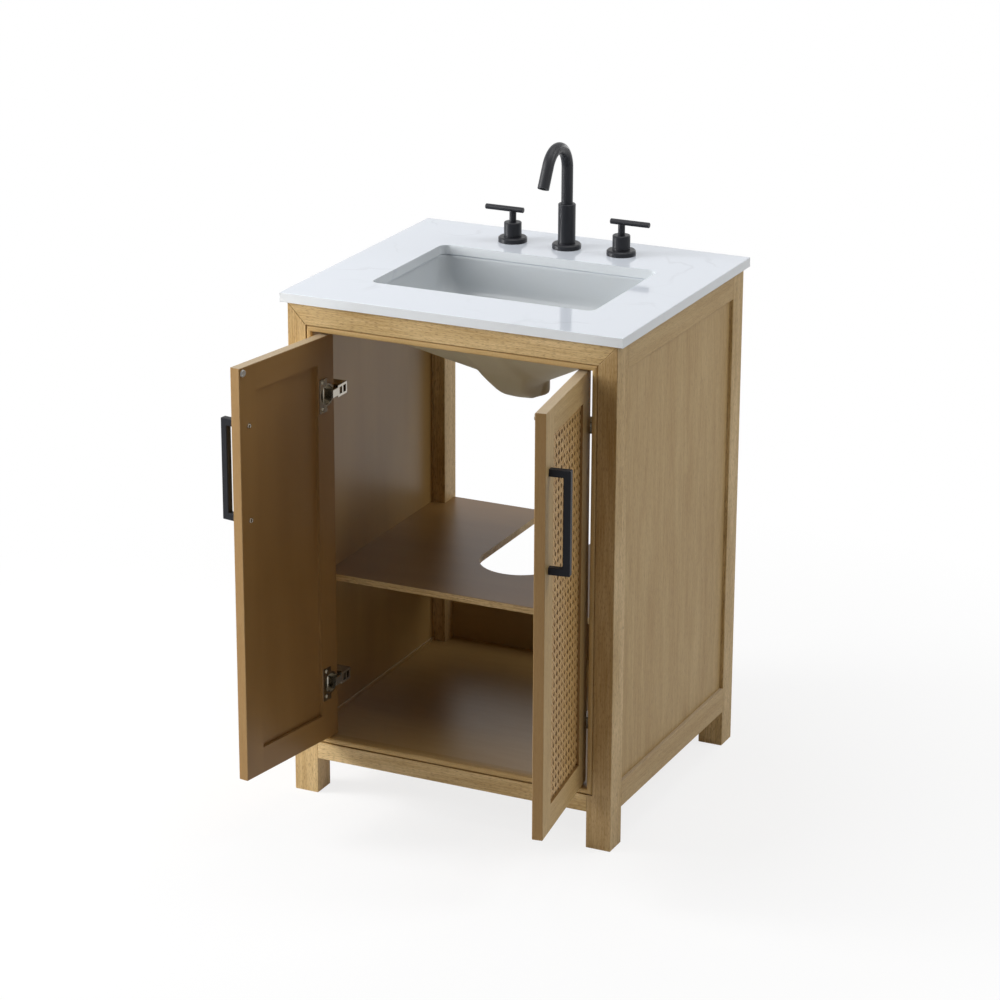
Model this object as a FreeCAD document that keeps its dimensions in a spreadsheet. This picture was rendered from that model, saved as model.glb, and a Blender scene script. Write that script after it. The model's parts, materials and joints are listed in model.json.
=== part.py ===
"""A 24 inch bathroom vanity: oak frame-and-panel cabinet on legs with a pair of inset cane doors,
a stone top, an undermount basin and a widespread faucet.

Millimetres. +X is the user's right, +Y runs to the wall and +Z is up. The origin is on the floor,
half-way across the cabinet and half-way between the wall and the free edges of the open doors.
"""

import FreeCAD, Part
import math
import os
import re

import Sketcher

SIZES = {
    # Stone top
    "slab_width": 610,
    "slab_depth": 540,
    "slab_top": 882,
    "slab_thickness": 16,
    "slab_front": -160,
    "slab_edge_round": 1.2,
    "side_overhang": 11,
    "front_overhang": 6,
    "cutout_width": 401,
    "cutout_depth": 270,
    "cutout_setback": 120,
    "cutout_corner": 14,
    # Legs and front frame
    "leg_width": 44,
    "foot_height": 64,
    "rail_thickness": 22,
    "top_rail_height": 46,
    "bottom_rail_height": 41,
    "bead_width": 11,
    "bead_depth": 12,
    "bead_quirk": 1.4,
    "bead_quirk_depth": 4,
    "bead_round": 3.5,
    "edge_ease": 0.8,
    # Framed sides and back
    "side_top_height": 48,
    "side_bottom_height": 45,
    "panel_recess": 6,
    "panel_thickness": 13,
    "panel_groove": 6,
    "panel_play": 0.5,
    "back_rail_height": 75,
    "back_panel_top": 240,
    # Inside
    "floor_thickness": 15,
    "floor_drop": 2,
    "shelf_top": 371,
    "shelf_thickness": 12,
    "shelf_setback": 82,
    "shelf_play": 0.5,
    "shelf_back_gap": 5,
    "slot_half_width": 72,
    "slot_reach": 250,
    "shelf_pin_radius": 2.5,
    "shelf_pin_length": 16,
    "shelf_pin_inset": 30,
    "block_reach": 45,
    "block_height": 20,
    # Basin
    "bowl_reveal": 2,
    "bowl_wall": 9,
    "bowl_rim": 16,
    "bowl_rim_height": 10,
    "bowl_straight": 43,
    "bowl_draft": 6,
    "bowl_round": 45,
    "bowl_turn": 58,
    "bowl_corner": 20,
    "bowl_foot_corner": 46,
    "bowl_fall": 84,
    "well_width": 64,
    "well_corner": 30.5,
    "drain_setback": 54,
    "drain_radius": 22.5,
    "boss_radius": 31,
    "boss_bottom": 199,
    "channel_width": 92,
    "channel_depth": 5,
    "channel_round": 18,
    "overflow_width": 32,
    "overflow_height": 12,
    "overflow_corner": 5,
    "overflow_drop": 30,
    "overflow_reach": 7,
    "clip_width": 20,
    "clip_spacing": 155,
    "clip_gauge": 2,
    "clip_foot": 18,
    "clip_toe": 12,
    "clip_slack": 1,
    # Faucet
    "faucet_setback": 79,
    "handle_spacing": 101.6,
    "deck_hole_radius": 17.5,
    "escutcheon_radius": 25,
    "escutcheon_height": 9,
    "escutcheon_bevel": 2,
    "turned_edge": 1,
    "spigot_radius": 10,
    "collar_radius": 15,
    "collar_top": 78,
    "spout_radius": 10,
    "spout_bore": 8,
    "spout_seat": 43,
    "spout_straight": 97,
    "spout_bend": 42,
    "spout_sweep": 152,
    "spout_tail": 40,
    "running_play": 0.05,
    "aerator_depth": 9,
    "aerator_set_in": 1,
    "aerator_bore": 5,
    "valve_radius": 15.2,
    "valve_top": 34.5,
    "spindle_radius": 4,
    "spindle_depth": 14,
    "stem_radius": 6,
    "stem_gap": 0.4,
    "bar_radius": 4.75,
    "bar_height": 56.5,
    "bar_outward": 51,
    "bar_inward": 20,
    "bar_edge": 0.6,
    "shank_radius": 12,
    "shank_bottom": 62,
    "tail_radius": 10,
    "tail_bottom": 90,
    "nut_radius": 21,
    "nut_height": 12,
    # Doors
    "door_width": 246.5,
    "door_thickness": 18,
    "door_side_gap": 2.2,
    "door_end_gap": 3.5,
    "stile_width": 43,
    "door_rail_width": 45,
    "cane_recess": 6,
    "cane_thickness": 2.5,
    "door_panel_thickness": 4,
    "door_groove": 4,
    "groove_play": 0.3,
    "left_angle": 99,
    "right_angle": 98,
    "pull_height": 637,
    "pull_centres": 160,
    "pull_section": 12,
    "pull_projection": 35,
    "pull_edge": 1,
    "pull_inset": 22,
    "pull_screw_radius": 2,
    "pull_screw_reach": 12,
    "pull_head_radius": 4,
    "screw_play": 0.1,
    "bumper_radius": 6,
    "bumper_height": 3,
    "bumper_round": 2,
    "bumper_inset": 9,
    # Hinges
    "hinge_end": 100,
    "pin_inset": 14.5,
    "pin_depth": 7.5,
    "pin_radius": 1.25,
    "pin_length": 32,
    "eye_radius": 2.6,
    "cup_offset": 6,
    "cup_radius": 17.5,
    "cup_wall": 1,
    "cup_depth": 14.3,
    "flange_gauge": 1.5,
    "flange_width": 20,
    "flange_length": 58,
    "flange_rim": 2,
    "cup_screw_spacing": 45,
    "cup_screw_shift": 9.5,
    "cup_screw_radius": 1.5,
    "cup_screw_reach": 12,
    "cup_head_radius": 3.6,
    "head_height": 2,
    "arm_gauge": 2.5,
    "arm_crank": 17.5,
    "arm_back": 46,
    "arm_link_height": 13,
    "arm_height": 20,
    "arm_shoulder": 16,
    "arm_cheek": 22,
    "plate_gauge": 2.5,
    "plate_front": 17,
    "plate_back": 36,
    "plate_height": 40,
    "plate_screw_spacing": 30,
    "plate_screw_shift": 2,
    "plate_screw_reach": 16,
}

# Planes and levels that several pieces meet at, as formulas on the sizes
LEVELS = {
    "half_width": "slab_width / 2 - side_overhang",
    "leg_inside": "half_width - leg_width",
    "front": "slab_front + front_overhang",
    "back": "slab_front + slab_depth",
    "front_leg_back": "front + leg_width",
    "back_leg_front": "back - leg_width",
    "deck": "slab_top - slab_thickness",
    "bead_outside": "leg_inside + bead_width",
    "opening_top": "deck - top_rail_height",
    "opening_bottom": "foot_height + bottom_rail_height",
    "bead_top": "opening_top + bead_width",
    "bead_bottom": "opening_bottom - bead_width",
    "rail_back": "front + rail_thickness",
    "rail_inside": "half_width - rail_thickness",
    "panel_outside": "half_width - panel_recess",
    "panel_inside": "panel_outside - panel_thickness",
    "side_opening_top": "deck - side_top_height",
    "side_opening_bottom": "foot_height + side_bottom_height",
    "back_rail_front": "back - rail_thickness",
    "floor_top": "opening_bottom - floor_drop",
    "shelf_front": "front + shelf_setback",
    "shelf_back": "back - shelf_back_gap",
    "shelf_bottom": "shelf_top - shelf_thickness",
    "bowl_centre": "slab_front + cutout_setback + cutout_depth / 2",
    "bowl_length": "cutout_width + 2 * bowl_reveal",
    "bowl_width": "cutout_depth + 2 * bowl_reveal",
    "bowl_foot": "bowl_straight + bowl_round * sin(bowl_turn)",
    "well_depth": "bowl_foot + bowl_fall",
    "faucet_line": "back - faucet_setback",
    "door_bottom": "opening_bottom + door_end_gap",
    "door_top": "opening_top - door_end_gap",
    "door_front": "0 - pin_depth",
    "door_back": "door_thickness - pin_depth",
    "door_free": "door_width - pin_inset",
    "hinge_stile_edge": "stile_width - pin_inset",
    "pull_stile_edge": "door_free - stile_width",
    "cane_back": "door_front + cane_recess + cane_thickness",
    "door_panel_back": "cane_back + door_panel_thickness",
    "pin_side": "leg_inside - door_side_gap - pin_inset",
    "pin_back": "front + pin_depth",
    "pull_line": "door_free - pull_inset",
    "leg_face": "0 - pin_inset - door_side_gap",
    "cup_screw_line": "cup_offset + cup_screw_shift",
    "plate_face": "leg_face + plate_gauge",
    "plate_screw_line": "(plate_front + plate_back) / 2 - plate_screw_shift",
}

SIDES = (("left", -1), ("right", 1))
UPWARD = FreeCAD.Vector(0, 0, 1)
NEAR = 1e-3

doc = FreeCAD.newDocument("vanity_unit")
sheet = doc.addObject("Spreadsheet::Sheet", "Sizes")
for row, (alias, size) in enumerate(SIZES.items(), start=1):
    sheet.set(f"A{row}", alias)
    sheet.set(f"B{row}", str(size))
    sheet.setAlias(f"B{row}", alias)
doc.recompute()
nodes = []


def formula(text):
    """Write a formula in the words of SIZES and LEVELS as an expression on the sheet."""

    def cell(word):
        name = word.group()
        if name in LEVELS:
            return f"({formula(LEVELS[name])})"
        return f"Sizes.{name}" if name in SIZES else name

    return re.sub(r"[a-z]\w*", cell, str(text))


def bind(item, **formulas):
    """Bind properties of an object to formulas; a double underscore in a name is a dot."""
    for name, text in formulas.items():
        item.setExpression(name.replace("__", "."), formula(text))


def place(item, x="0", y="0", z="0", turn=None, axis=UPWARD):
    """Put an object at a point, turned about an axis by an angle in degrees."""
    if turn is not None:
        item.Placement = FreeCAD.Placement(FreeCAD.Vector(), FreeCAD.Rotation(axis, 1))
        bind(item, Placement__Rotation__Angle=turn)
    bind(item, Placement__Base__x=x, Placement__Base__y=y, Placement__Base__z=z)
    return item


def node(label, item):
    """Name a finished sub-part."""
    item.Label = label
    nodes.append(item)
    return item


def group(label, items):
    """One node that holds several like pieces, each a solid of its own."""
    compound = doc.addObject("Part::Compound", label)
    compound.Links = items
    return node(label, compound)


def new_body(name):
    return doc.addObject("PartDesign::Body", name)


def polygon(*corners):
    """A closed outline with straight edges, each corner held by its distances from the sketch's origin."""

    def draw(sketch):
        count = len(corners)
        first = sketch.GeometryCount
        turns = [2 * math.pi * number / count for number in range(count)]
        spots = [FreeCAD.Vector(100 * math.cos(turn), 100 * math.sin(turn), 0) for turn in turns]
        edges = [Part.LineSegment(spot, spots[number - count + 1]) for number, spot in enumerate(spots)]
        sketch.addGeometry(edges, False)
        for number in range(count):
            after = first + (number + 1) % count
            sketch.addConstraint(Sketcher.Constraint("Coincident", first + number, 2, after, 1))
        for number, (across, along) in enumerate(corners):
            hold(sketch, "DistanceX", first + number, 1, across, spots[number].x)
            hold(sketch, "DistanceY", first + number, 1, along, spots[number].y)

    return draw


def rectangle(low_x, low_y, high_x, high_y):
    return polygon((low_x, low_y), (high_x, low_y), (high_x, high_y), (low_x, high_y))


def circle(across, along, radius):
    """A circle held by its centre and its radius."""

    def draw(sketch):
        ring = sketch.addGeometry(Part.Circle(FreeCAD.Vector(), UPWARD, 10), False)
        hold(sketch, "DistanceX", ring, 3, across, 0)
        hold(sketch, "DistanceY", ring, 3, along, 0)
        size = sketch.addConstraint(Sketcher.Constraint("Radius", ring, 10))
        sketch.setExpression(f"Constraints[{size}]", formula(radius))

    return draw


def rounded(length, depth, corner, along="0"):
    """A rectangle with round corners about a point of the centre plane, by its length, depth and radius."""
    sides = [(1, -1), (1, 1), (-1, 1), (-1, -1)]
    reach, bend = 100, 30

    def draw(sketch):
        first = sketch.GeometryCount
        hearts = [FreeCAD.Vector(x * (reach - bend), y * (reach - bend), 0) for x, y in sides]
        for number, heart in enumerate(hearts):
            start = (number - 1) * math.pi / 2
            ring = Part.Circle(heart, UPWARD, bend)
            sketch.addGeometry(Part.ArcOfCircle(ring, start, start + math.pi / 2), False)
        for number in range(4):
            arc, after = first + number, first + (number + 1) % 4
            ends = sketch.Geometry[arc].EndPoint, sketch.Geometry[after].StartPoint
            line = sketch.addGeometry(Part.LineSegment(*ends), False)
            sketch.addConstraint(Sketcher.Constraint("Tangent", arc, 2, line, 1))
            sketch.addConstraint(Sketcher.Constraint("Tangent", line, 2, after, 1))
            sketch.addConstraint(Sketcher.Constraint("Horizontal" if number % 2 else "Vertical", line))
        for number, (x, y) in enumerate(sides[::2]):
            arc = first + 2 * number
            across = f"{x} * (({length}) / 2 - ({corner}))"
            up = f"{along} + {y} * (({depth}) / 2 - ({corner}))"
            hold(sketch, "DistanceX", arc, 3, across, x * (reach - bend))
            hold(sketch, "DistanceY", arc, 3, up, y * (reach - bend))
        for number in range(3):
            sketch.addConstraint(Sketcher.Constraint("Equal", first + number, first + number + 1))
        size = sketch.addConstraint(Sketcher.Constraint("Radius", first, bend))
        sketch.setExpression(f"Constraints[{size}]", formula(corner))

    return draw


def hold(sketch, kind, edge, point, text, start):
    """Hold one point of an edge at a distance from the sketch's origin, given by a formula."""
    number = sketch.addConstraint(Sketcher.Constraint(kind, -1, 1, edge, point, start))
    sketch.setExpression(f"Constraints[{number}]", formula(text))


def drawn(body, view, level, outlines):
    """A sketch in the top, front or side view of a body, at a level along that view's axis."""
    role = {"top": "XY_Plane", "front": "XZ_Plane", "side": "YZ_Plane"}[view]
    sketch = body.newObject("Sketcher::SketchObject", f"{view}_sketch")
    sketch.AttachmentSupport = [(plane, "") for plane in body.Origin.OriginFeatures if plane.Role == role]
    sketch.MapMode = "FlatFace"
    # The front plane's normal points to the user, against +Y
    bind(sketch, AttachmentOffset__Base__z=f"0 - ({level})" if view == "front" else level)
    for outline in outlines:
        outline(sketch)
    return sketch


def pad(body, view, outlines, low, high):
    """Add material between two levels along the view's axis."""
    feature = body.newObject("PartDesign::Pad", "Pad")
    feature.Profile = drawn(body, view, low, outlines)
    feature.Reversed = view == "front"
    bind(feature, Length=f"({high}) - ({low})")
    body.Tip = feature
    return body


def cut(body, view, outlines, low, high):
    """Take material away between two levels along the view's axis."""
    doc.recompute()
    before = body.Shape.Volume
    feature = body.newObject("PartDesign::Pocket", "Pocket")
    feature.Profile = drawn(body, view, low, outlines)
    feature.Reversed = view != "front"
    bind(feature, Length=f"({high}) - ({low})")
    body.Tip = feature
    doc.recompute()
    if body.Shape.Volume >= before:
        raise RuntimeError(f"a cut in {body.Name} removes nothing")
    return body


def revolve(body, *corners):
    """Turn a half section, given as radius and height, once round the body's Z axis."""
    feature = body.newObject("PartDesign::Revolution", "Revolution")
    sketch = drawn(body, "front", "0", [polygon(*corners)])
    feature.Profile = sketch
    feature.ReferenceAxis = (sketch, ["V_Axis"])
    feature.Angle = 360
    body.Tip = feature
    return body


def loft(body, *sections):
    """A ruled loft through outlines in the top view, each with its level."""
    sketches = [drawn(body, "top", level, [outline]) for outline, level in sections]
    feature = body.newObject("PartDesign::AdditiveLoft", "Loft")
    feature.Profile = sketches[0]
    feature.Sections = sketches[1:]
    feature.Ruled = True
    body.Tip = feature
    return body


def dress(body, kind, size, test):
    """Fillet or chamfer the edges of a body that a test on the edge picks out."""
    doc.recompute()
    base = body.Tip
    edges = [f"Edge{number}" for number, edge in enumerate(base.Shape.Edges, start=1) if test(edge)]
    if not edges:
        raise RuntimeError(f"no edge of {body.Name} to dress")
    feature = body.newObject(f"PartDesign::{kind}", kind)
    feature.Base = (base, edges)
    if kind == "Fillet":
        bind(feature, Radius=size)
    else:
        bind(feature, Size=size)
    body.Tip = feature
    doc.recompute()
    return body


def ease(body, *sides):
    """Break the long edges of a piece that lie on the given sides of its box, such as XMin."""
    doc.recompute()
    whole = body.Shape.BoundBox
    shortest = SIZES["leg_width"] / 2

    def on_side(edge, side):
        own = edge.BoundBox
        level = getattr(whole, side)
        return all(abs(getattr(own, side[0] + end) - level) < NEAR for end in ("Min", "Max"))

    def test(edge):
        return edge.Length > shortest and any(on_side(edge, side) for side in sides)

    return dress(body, "Chamfer", "edge_ease", test)


def mitred(body):
    """Break the slanting edges on the front of a mitred piece, so that the mitre shows as a fine line."""
    doc.recompute()
    face = body.Shape.BoundBox.YMin + NEAR
    shortest = SIZES["bead_width"]

    def slants(edge):
        box = edge.BoundBox
        return box.YMax < face and box.XLength > shortest and box.ZLength > shortest

    return dress(body, "Chamfer", "edge_ease", slants)


def board(name, low, high):
    """A plain board between two corners."""
    box = doc.addObject("Part::Box", name)
    bind(box, **{side: f"({b}) - ({a})" for side, a, b in zip(("Length", "Width", "Height"), low, high)})
    return place(box, *low)


def span(sign, low, high):
    """Two levels along X in rising order, on the left side for -1 or the right side for 1."""
    return (low, high) if sign > 0 else (f"0 - ({high})", f"0 - ({low})")


def signed(sign, text):
    return text if sign > 0 else f"0 - ({text})"


def front_leg(side, sign):
    """A post whose front is mitred to the top rail and rebated for the bead."""
    body = new_body(f"{side}_front_leg_body")
    low, high = span(sign, "leg_inside", "half_width")
    pad(body, "front", [rectangle(low, "0", high, "deck")], "front", "front_leg_back")
    ease(body, "XMin", "XMax", "ZMin")
    corner = (
        ("half_width", "deck"),
        ("bead_outside", "bead_top"),
        ("leg_inside", "bead_top"),
        ("leg_inside", "deck"),
    )
    mitre = polygon(*((signed(sign, across), up) for across, up in corner))
    cut(body, "front", [mitre], "front", "rail_back")
    mitred(body)
    low, high = span(sign, "leg_inside", "bead_outside")
    cut(body, "front", [rectangle(low, "bead_bottom", high, "bead_top")], "front", "front + bead_depth")
    low, high = span(sign, "panel_inside", "panel_outside")
    groove = rectangle(low, "foot_height", high, "deck")
    cut(body, "front", [groove], "front_leg_back - panel_groove", "front_leg_back")
    low, high = span(sign, "leg_inside", "leg_inside + plate_screw_reach")
    for height in hinge_heights():
        for row in plate_screw_rows(height):
            pilot = circle("pin_back + plate_screw_line", row, "cup_screw_radius")
            cut(body, "side", [pilot], low, high)
    node(f"front_{side}_leg", body)


def back_leg(side, sign):
    """A post grooved for the side frame."""
    body = new_body(f"{side}_back_leg_body")
    low, high = span(sign, "leg_inside", "half_width")
    pad(body, "front", [rectangle(low, "0", high, "deck")], "back_leg_front", "back")
    ease(body, "XMin", "XMax", "ZMin")
    low, high = span(sign, "panel_inside", "panel_outside")
    groove = rectangle(low, "foot_height", high, "deck")
    cut(body, "front", [groove], "back_leg_front", "back_leg_front + panel_groove")
    node(f"back_{side}_leg", body)


def front_rails():
    """The mitred top rail and the bottom rail, both rebated for the bead."""
    top = new_body("front_top_rail_body")
    face = polygon(
        ("0 - half_width", "deck"),
        ("0 - bead_outside", "bead_top"),
        ("bead_outside", "bead_top"),
        ("half_width", "deck"),
    )
    pad(top, "front", [face], "front", "rail_back")
    mitred(top)
    lip = rectangle("0 - leg_inside", "opening_top", "leg_inside", "bead_top")
    pad(top, "front", [lip], "front + bead_depth", "rail_back")
    node("front_top_rail", top)
    bottom = new_body("front_bottom_rail_body")
    face = rectangle("0 - leg_inside", "foot_height", "leg_inside", "opening_bottom")
    pad(bottom, "front", [face], "front", "rail_back")
    ease(bottom, "ZMin")
    rebate = rectangle("0 - leg_inside", "bead_bottom", "leg_inside", "opening_bottom")
    cut(bottom, "front", [rebate], "front", "front + bead_depth")
    node("front_bottom_rail", bottom)


def bead_strip(name, length, x, z, turn):
    """One strip of bead moulding with mitred ends, drawn as the bottom strip and turned into place."""
    body = new_body(name)
    half = f"({length}) / 2"
    profile = polygon(
        ("bead_quirk_depth", "0"),
        ("bead_quirk_depth", "bead_quirk"),
        ("0", "bead_quirk"),
        ("0", "bead_width"),
        ("bead_depth", "bead_width"),
        ("bead_depth", "0"),
    )
    pad(body, "side", [profile], f"0 - {half}", half)
    dress(body, "Fillet", "bead_round", lambda edge: edge.BoundBox.YMax < NEAR < edge.BoundBox.XLength)
    for sign in (-1, 1):
        waste = polygon(
            (signed(sign, half), "0"),
            (signed(sign, f"{half} - bead_width"), "bead_width"),
            (signed(sign, half), "bead_width"),
        )
        cut(body, "front", [waste], "0", "bead_depth")
    return place(body, x, "front", z, turn, FreeCAD.Vector(0, 1, 0))


def opening_beads():
    """Four mitred strips round the door opening."""
    wide = "2 * bead_outside"
    tall = "bead_top - (bead_bottom)"
    middle = "(bead_top + bead_bottom) / 2"
    strips = [
        bead_strip("bead_strip_bottom", wide, "0", "bead_bottom", "0"),
        bead_strip("bead_strip_left", tall, "0 - bead_outside", middle, "90"),
        bead_strip("bead_strip_top", wide, "0", "bead_top", "180"),
        bead_strip("bead_strip_right", tall, "bead_outside", middle, "270"),
    ]
    group("opening_beads", strips)


def side_frame(side, sign):
    """Top and bottom rails with stub tenons, and the panel that floats in their grooves."""
    faces = span(sign, "rail_inside", "half_width")
    slot = span(sign, "panel_inside", "panel_outside")
    tenon_front = "front_leg_back - panel_groove"
    tenon_back = "back_leg_front + panel_groove"
    groove_top = "side_opening_top + panel_groove"
    groove_bottom = "side_opening_bottom - panel_groove"
    rails = (
        ("top", ("side_opening_top", "deck"), ("side_opening_top", groove_top)),
        ("bottom", ("foot_height", "side_opening_bottom"), (groove_bottom, "side_opening_bottom")),
    )
    for name, (low, high), (groove_low, groove_high) in rails:
        rail = new_body(f"{side}_side_{name}_rail_body")
        pad(rail, "side", [rectangle("front_leg_back", low, "back_leg_front", high)], *faces)
        ease(rail, "ZMin", "ZMax")
        pad(rail, "side", [rectangle(tenon_front, low, tenon_back, high)], *slot)
        cut(rail, "side", [rectangle(tenon_front, groove_low, tenon_back, groove_high)], *slot)
        node(f"{side}_side_{name}_rail", rail)
    panel = new_body(f"{side}_side_panel_body")
    sheet_edge = rectangle(
        f"{tenon_front} + panel_play",
        f"{groove_bottom} + panel_play",
        f"{tenon_back} - panel_play",
        f"{groove_top} - panel_play",
    )
    pad(panel, "side", [sheet_edge], *slot)
    pin_height = "shelf_bottom - shelf_pin_radius"
    holes = [circle(along, pin_height, "shelf_pin_radius") for along in pin_rows()]
    low, high = span(sign, "panel_inside", "panel_inside + shelf_pin_length / 2")
    cut(panel, "side", holes, low, high)
    node(f"{side}_side_panel", panel)


def pin_rows():
    """Where the shelf pins stand along the depth of the cabinet."""
    return "shelf_front + shelf_pin_inset", "back_leg_front - shelf_pin_inset"


def back_boards():
    """The top rail across the back and the low panel behind the bottom bay."""
    left = "0 - leg_inside"
    low = (left, "back_rail_front", "deck - back_rail_height")
    node("back_top_rail", board("back_top_rail_board", low, ("leg_inside", "back", "deck")))
    low = (left, "back - panel_thickness", "foot_height")
    node("back_panel", board("back_panel_board", low, ("leg_inside", "back", "back_panel_top")))


def between_legs(front_edge, side, back_edge, inset="0"):
    """Half of a board's outline that is notched round the legs, front to back on the right."""
    return [
        (f"leg_inside - {inset}", front_edge),
        (f"leg_inside - {inset}", f"front_leg_back + {inset}"),
        (side, f"front_leg_back + {inset}"),
        (side, f"back_leg_front - {inset}"),
        (f"leg_inside - {inset}", f"back_leg_front - {inset}"),
        (f"leg_inside - {inset}", back_edge),
    ]


def both_halves(right):
    """A closed outline from its right half, mirrored across the centre plane."""
    return polygon(*right, *((signed(-1, across), along) for across, along in reversed(right)))


def inside_boards():
    """The floor of the cabinet and the shelf with its slot for the pipes."""
    floor = new_body("bottom_panel_body")
    outline = both_halves(between_legs("rail_back", "rail_inside", "back - panel_thickness"))
    pad(floor, "top", [outline], "floor_top - floor_thickness", "floor_top")
    node("bottom_panel", floor)
    shelf = new_body("shelf_body")
    right = between_legs("shelf_front", "panel_inside - shelf_play", "shelf_back", "shelf_play")
    outline = both_halves([(right[2][0], "shelf_front"), *right[3:]])
    pad(shelf, "top", [outline], "shelf_bottom", "shelf_top")
    ease(shelf, "YMin")
    slot_end = "shelf_back - slot_reach"
    cut(shelf, "top", [circle("0", slot_end, "slot_half_width")], "shelf_bottom", "shelf_top")
    slot = rectangle("0 - slot_half_width", slot_end, "slot_half_width", "shelf_back")
    cut(shelf, "top", [slot], "shelf_bottom", "shelf_top")
    node("shelf", shelf)
    pins = []
    for side, sign in SIDES:
        for number, along in enumerate(pin_rows()):
            half = "shelf_pin_length / 2"
            ends = span(sign, f"panel_inside - {half}", f"panel_inside + {half}")
            outline = circle(along, "shelf_bottom - shelf_pin_radius", "shelf_pin_radius")
            pins.append(pad(new_body(f"{side}_shelf_pin_{number}"), "side", [outline], *ends))
    group("shelf_pins", pins)


def corner_blocks():
    """Glue blocks that tie the top rails round each leg and carry the slab."""
    blocks = []
    ends = (
        ("front", "rail_back", "front_leg_back", "front_leg_back + block_reach"),
        ("back", "back_rail_front", "back_leg_front", "back_leg_front - block_reach"),
    )
    for side, sign in SIDES:
        for end, rail_face, post_face, reach in ends:
            right = [
                ("leg_inside - block_reach", rail_face),
                ("leg_inside", rail_face),
                ("leg_inside", post_face),
                ("rail_inside", post_face),
                ("rail_inside", reach),
            ]
            block = new_body(f"{side}_{end}_corner_block")
            outline = polygon(*((signed(sign, across), along) for across, along in right))
            pad(block, "top", [outline], "deck - block_height", "deck")
            blocks.append(block)
    group("corner_blocks", blocks)


def countertop():
    """The stone slab with the rounded sink cut-out and three faucet holes."""
    slab = new_body("countertop_body")
    depth = ("deck", "slab_top")
    pad(slab, "top", [rectangle("0 - slab_width / 2", "slab_front", "slab_width / 2", "back")], *depth)
    # The front and side edges are polished round; the wall side stays square
    top = SIZES["slab_top"] - NEAR
    wall = SIZES["slab_front"] + SIZES["slab_depth"] - NEAR
    dress(
        slab,
        "Fillet",
        "slab_edge_round",
        lambda edge: edge.BoundBox.ZMin > top and edge.BoundBox.YMin < wall,
    )
    mouth = rounded("cutout_width", "cutout_depth", "cutout_corner", "bowl_centre")
    cut(slab, "top", [mouth], *depth)
    holes = [circle(across, "faucet_line", "deck_hole_radius") for across in faucet_rows()]
    cut(slab, "top", holes, *depth)
    node("countertop", slab)


def faucet_rows():
    """Where the two handles and the spout stand across the slab."""
    return "0 - handle_spacing", "0", "handle_spacing"


def bowl_turns():
    """How far the bowl's wall has turned in at each section of its round, in degrees."""
    steps = 4
    return [f"bowl_turn * {step} / {steps}" for step in range(steps + 1)]


def bowl_section(wall, turn):
    """How far a bowl's wall has moved in, and its level, where it has turned by an angle."""
    inset = f"bowl_draft + bowl_round * (1 - cos({turn}))"
    return inset, f"0 - bowl_straight - (bowl_round + {wall}) * sin({turn})"


def bowl_form(name, wall):
    """A bowl's inner form, or with a wall its outer form, as one loft from the mouth to the drain's well.

    The walls stand nearly upright, turn in through a wide round and run on as a hopper to the well.
    """
    length, depth = f"bowl_length + 2 * {wall}", f"bowl_width + 2 * {wall}"
    sections = [(rounded(length, depth, f"bowl_corner + {wall}"), "0")]
    for turn in bowl_turns():
        inset, level = bowl_section(wall, turn)
        corner = f"bowl_corner + (bowl_foot_corner - bowl_corner) * ({turn}) / bowl_turn + {wall}"
        outline = rounded(f"{length} - 2 * ({inset})", f"{depth} - 2 * ({inset})", corner)
        sections.append((outline, level))
    width = f"well_width + {wall}"
    well = rounded(width, width, f"well_corner + {wall} / 2", "drain_setback")
    sections.append((well, f"0 - well_depth - {wall}"))
    return loft(new_body(name), *sections)


def overflow_channel():
    """The hollow rib's outer form, which runs down the front of the bowl and on under it to the drain."""
    wall = "(bowl_wall + channel_depth)"
    face = f"bowl_width / 2 + {wall}"
    profile = [(f"0 - ({face})", "0 - bowl_rim_height")]
    for turn in bowl_turns():
        inset, level = bowl_section(wall, turn)
        profile.append((f"0 - ({face} - ({inset}))", level))
    profile.append(("drain_setback - boss_radius", "0 - boss_bottom + turned_edge"))
    profile.append(("drain_setback", "0 - boss_bottom + turned_edge"))
    profile.append(("drain_setback", "0 - bowl_rim_height"))
    channel = new_body("basin_channel")
    pad(channel, "side", [polygon(*profile)], "0 - channel_width / 2", "channel_width / 2")
    rim = -SIZES["bowl_rim_height"] - NEAR
    drain = SIZES["drain_setback"] - NEAR

    def flank(edge):
        box = edge.BoundBox
        lengthways = box.XLength < NEAR and box.YLength + box.ZLength > NEAR
        return lengthways and box.ZMin < rim and box.YMin < drain

    return dress(channel, "Fillet", "channel_round", flank)


def sink_basin():
    """Undermount basin: a rimmed hopper of a bowl with an overflow channel and a boss under the drain."""
    outer = bowl_form("basin_outside", "bowl_wall")
    edge = "2 * (bowl_wall + bowl_rim)"
    rim = rounded(f"bowl_length + {edge}", f"bowl_width + {edge}", "bowl_corner + bowl_wall")
    pad(outer, "top", [rim], "0 - bowl_rim_height", "0")
    boss = circle("0", "drain_setback", "boss_radius")
    pad(outer, "top", [boss], "0 - boss_bottom", "0 - well_depth")
    inner = bowl_form("basin_inside", "0")
    drain = circle("0", "drain_setback", "drain_radius")
    pad(inner, "top", [drain], "0 - boss_bottom", "0 - bowl_foot")
    slot = rounded("overflow_width", "overflow_height", "overflow_corner", "0 - overflow_drop")
    wall = "0 - bowl_width / 2"
    pad(inner, "front", [slot], f"{wall} - overflow_reach", f"{wall} + overflow_reach")
    solid = doc.addObject("Part::Fuse", "basin_solid")
    solid.Base = outer
    solid.Tool = overflow_channel()
    basin = doc.addObject("Part::Cut", "basin")
    basin.Base = solid
    basin.Tool = inner
    place(basin, "0", "bowl_centre", "deck")
    node("sink_basin", basin)


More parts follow.
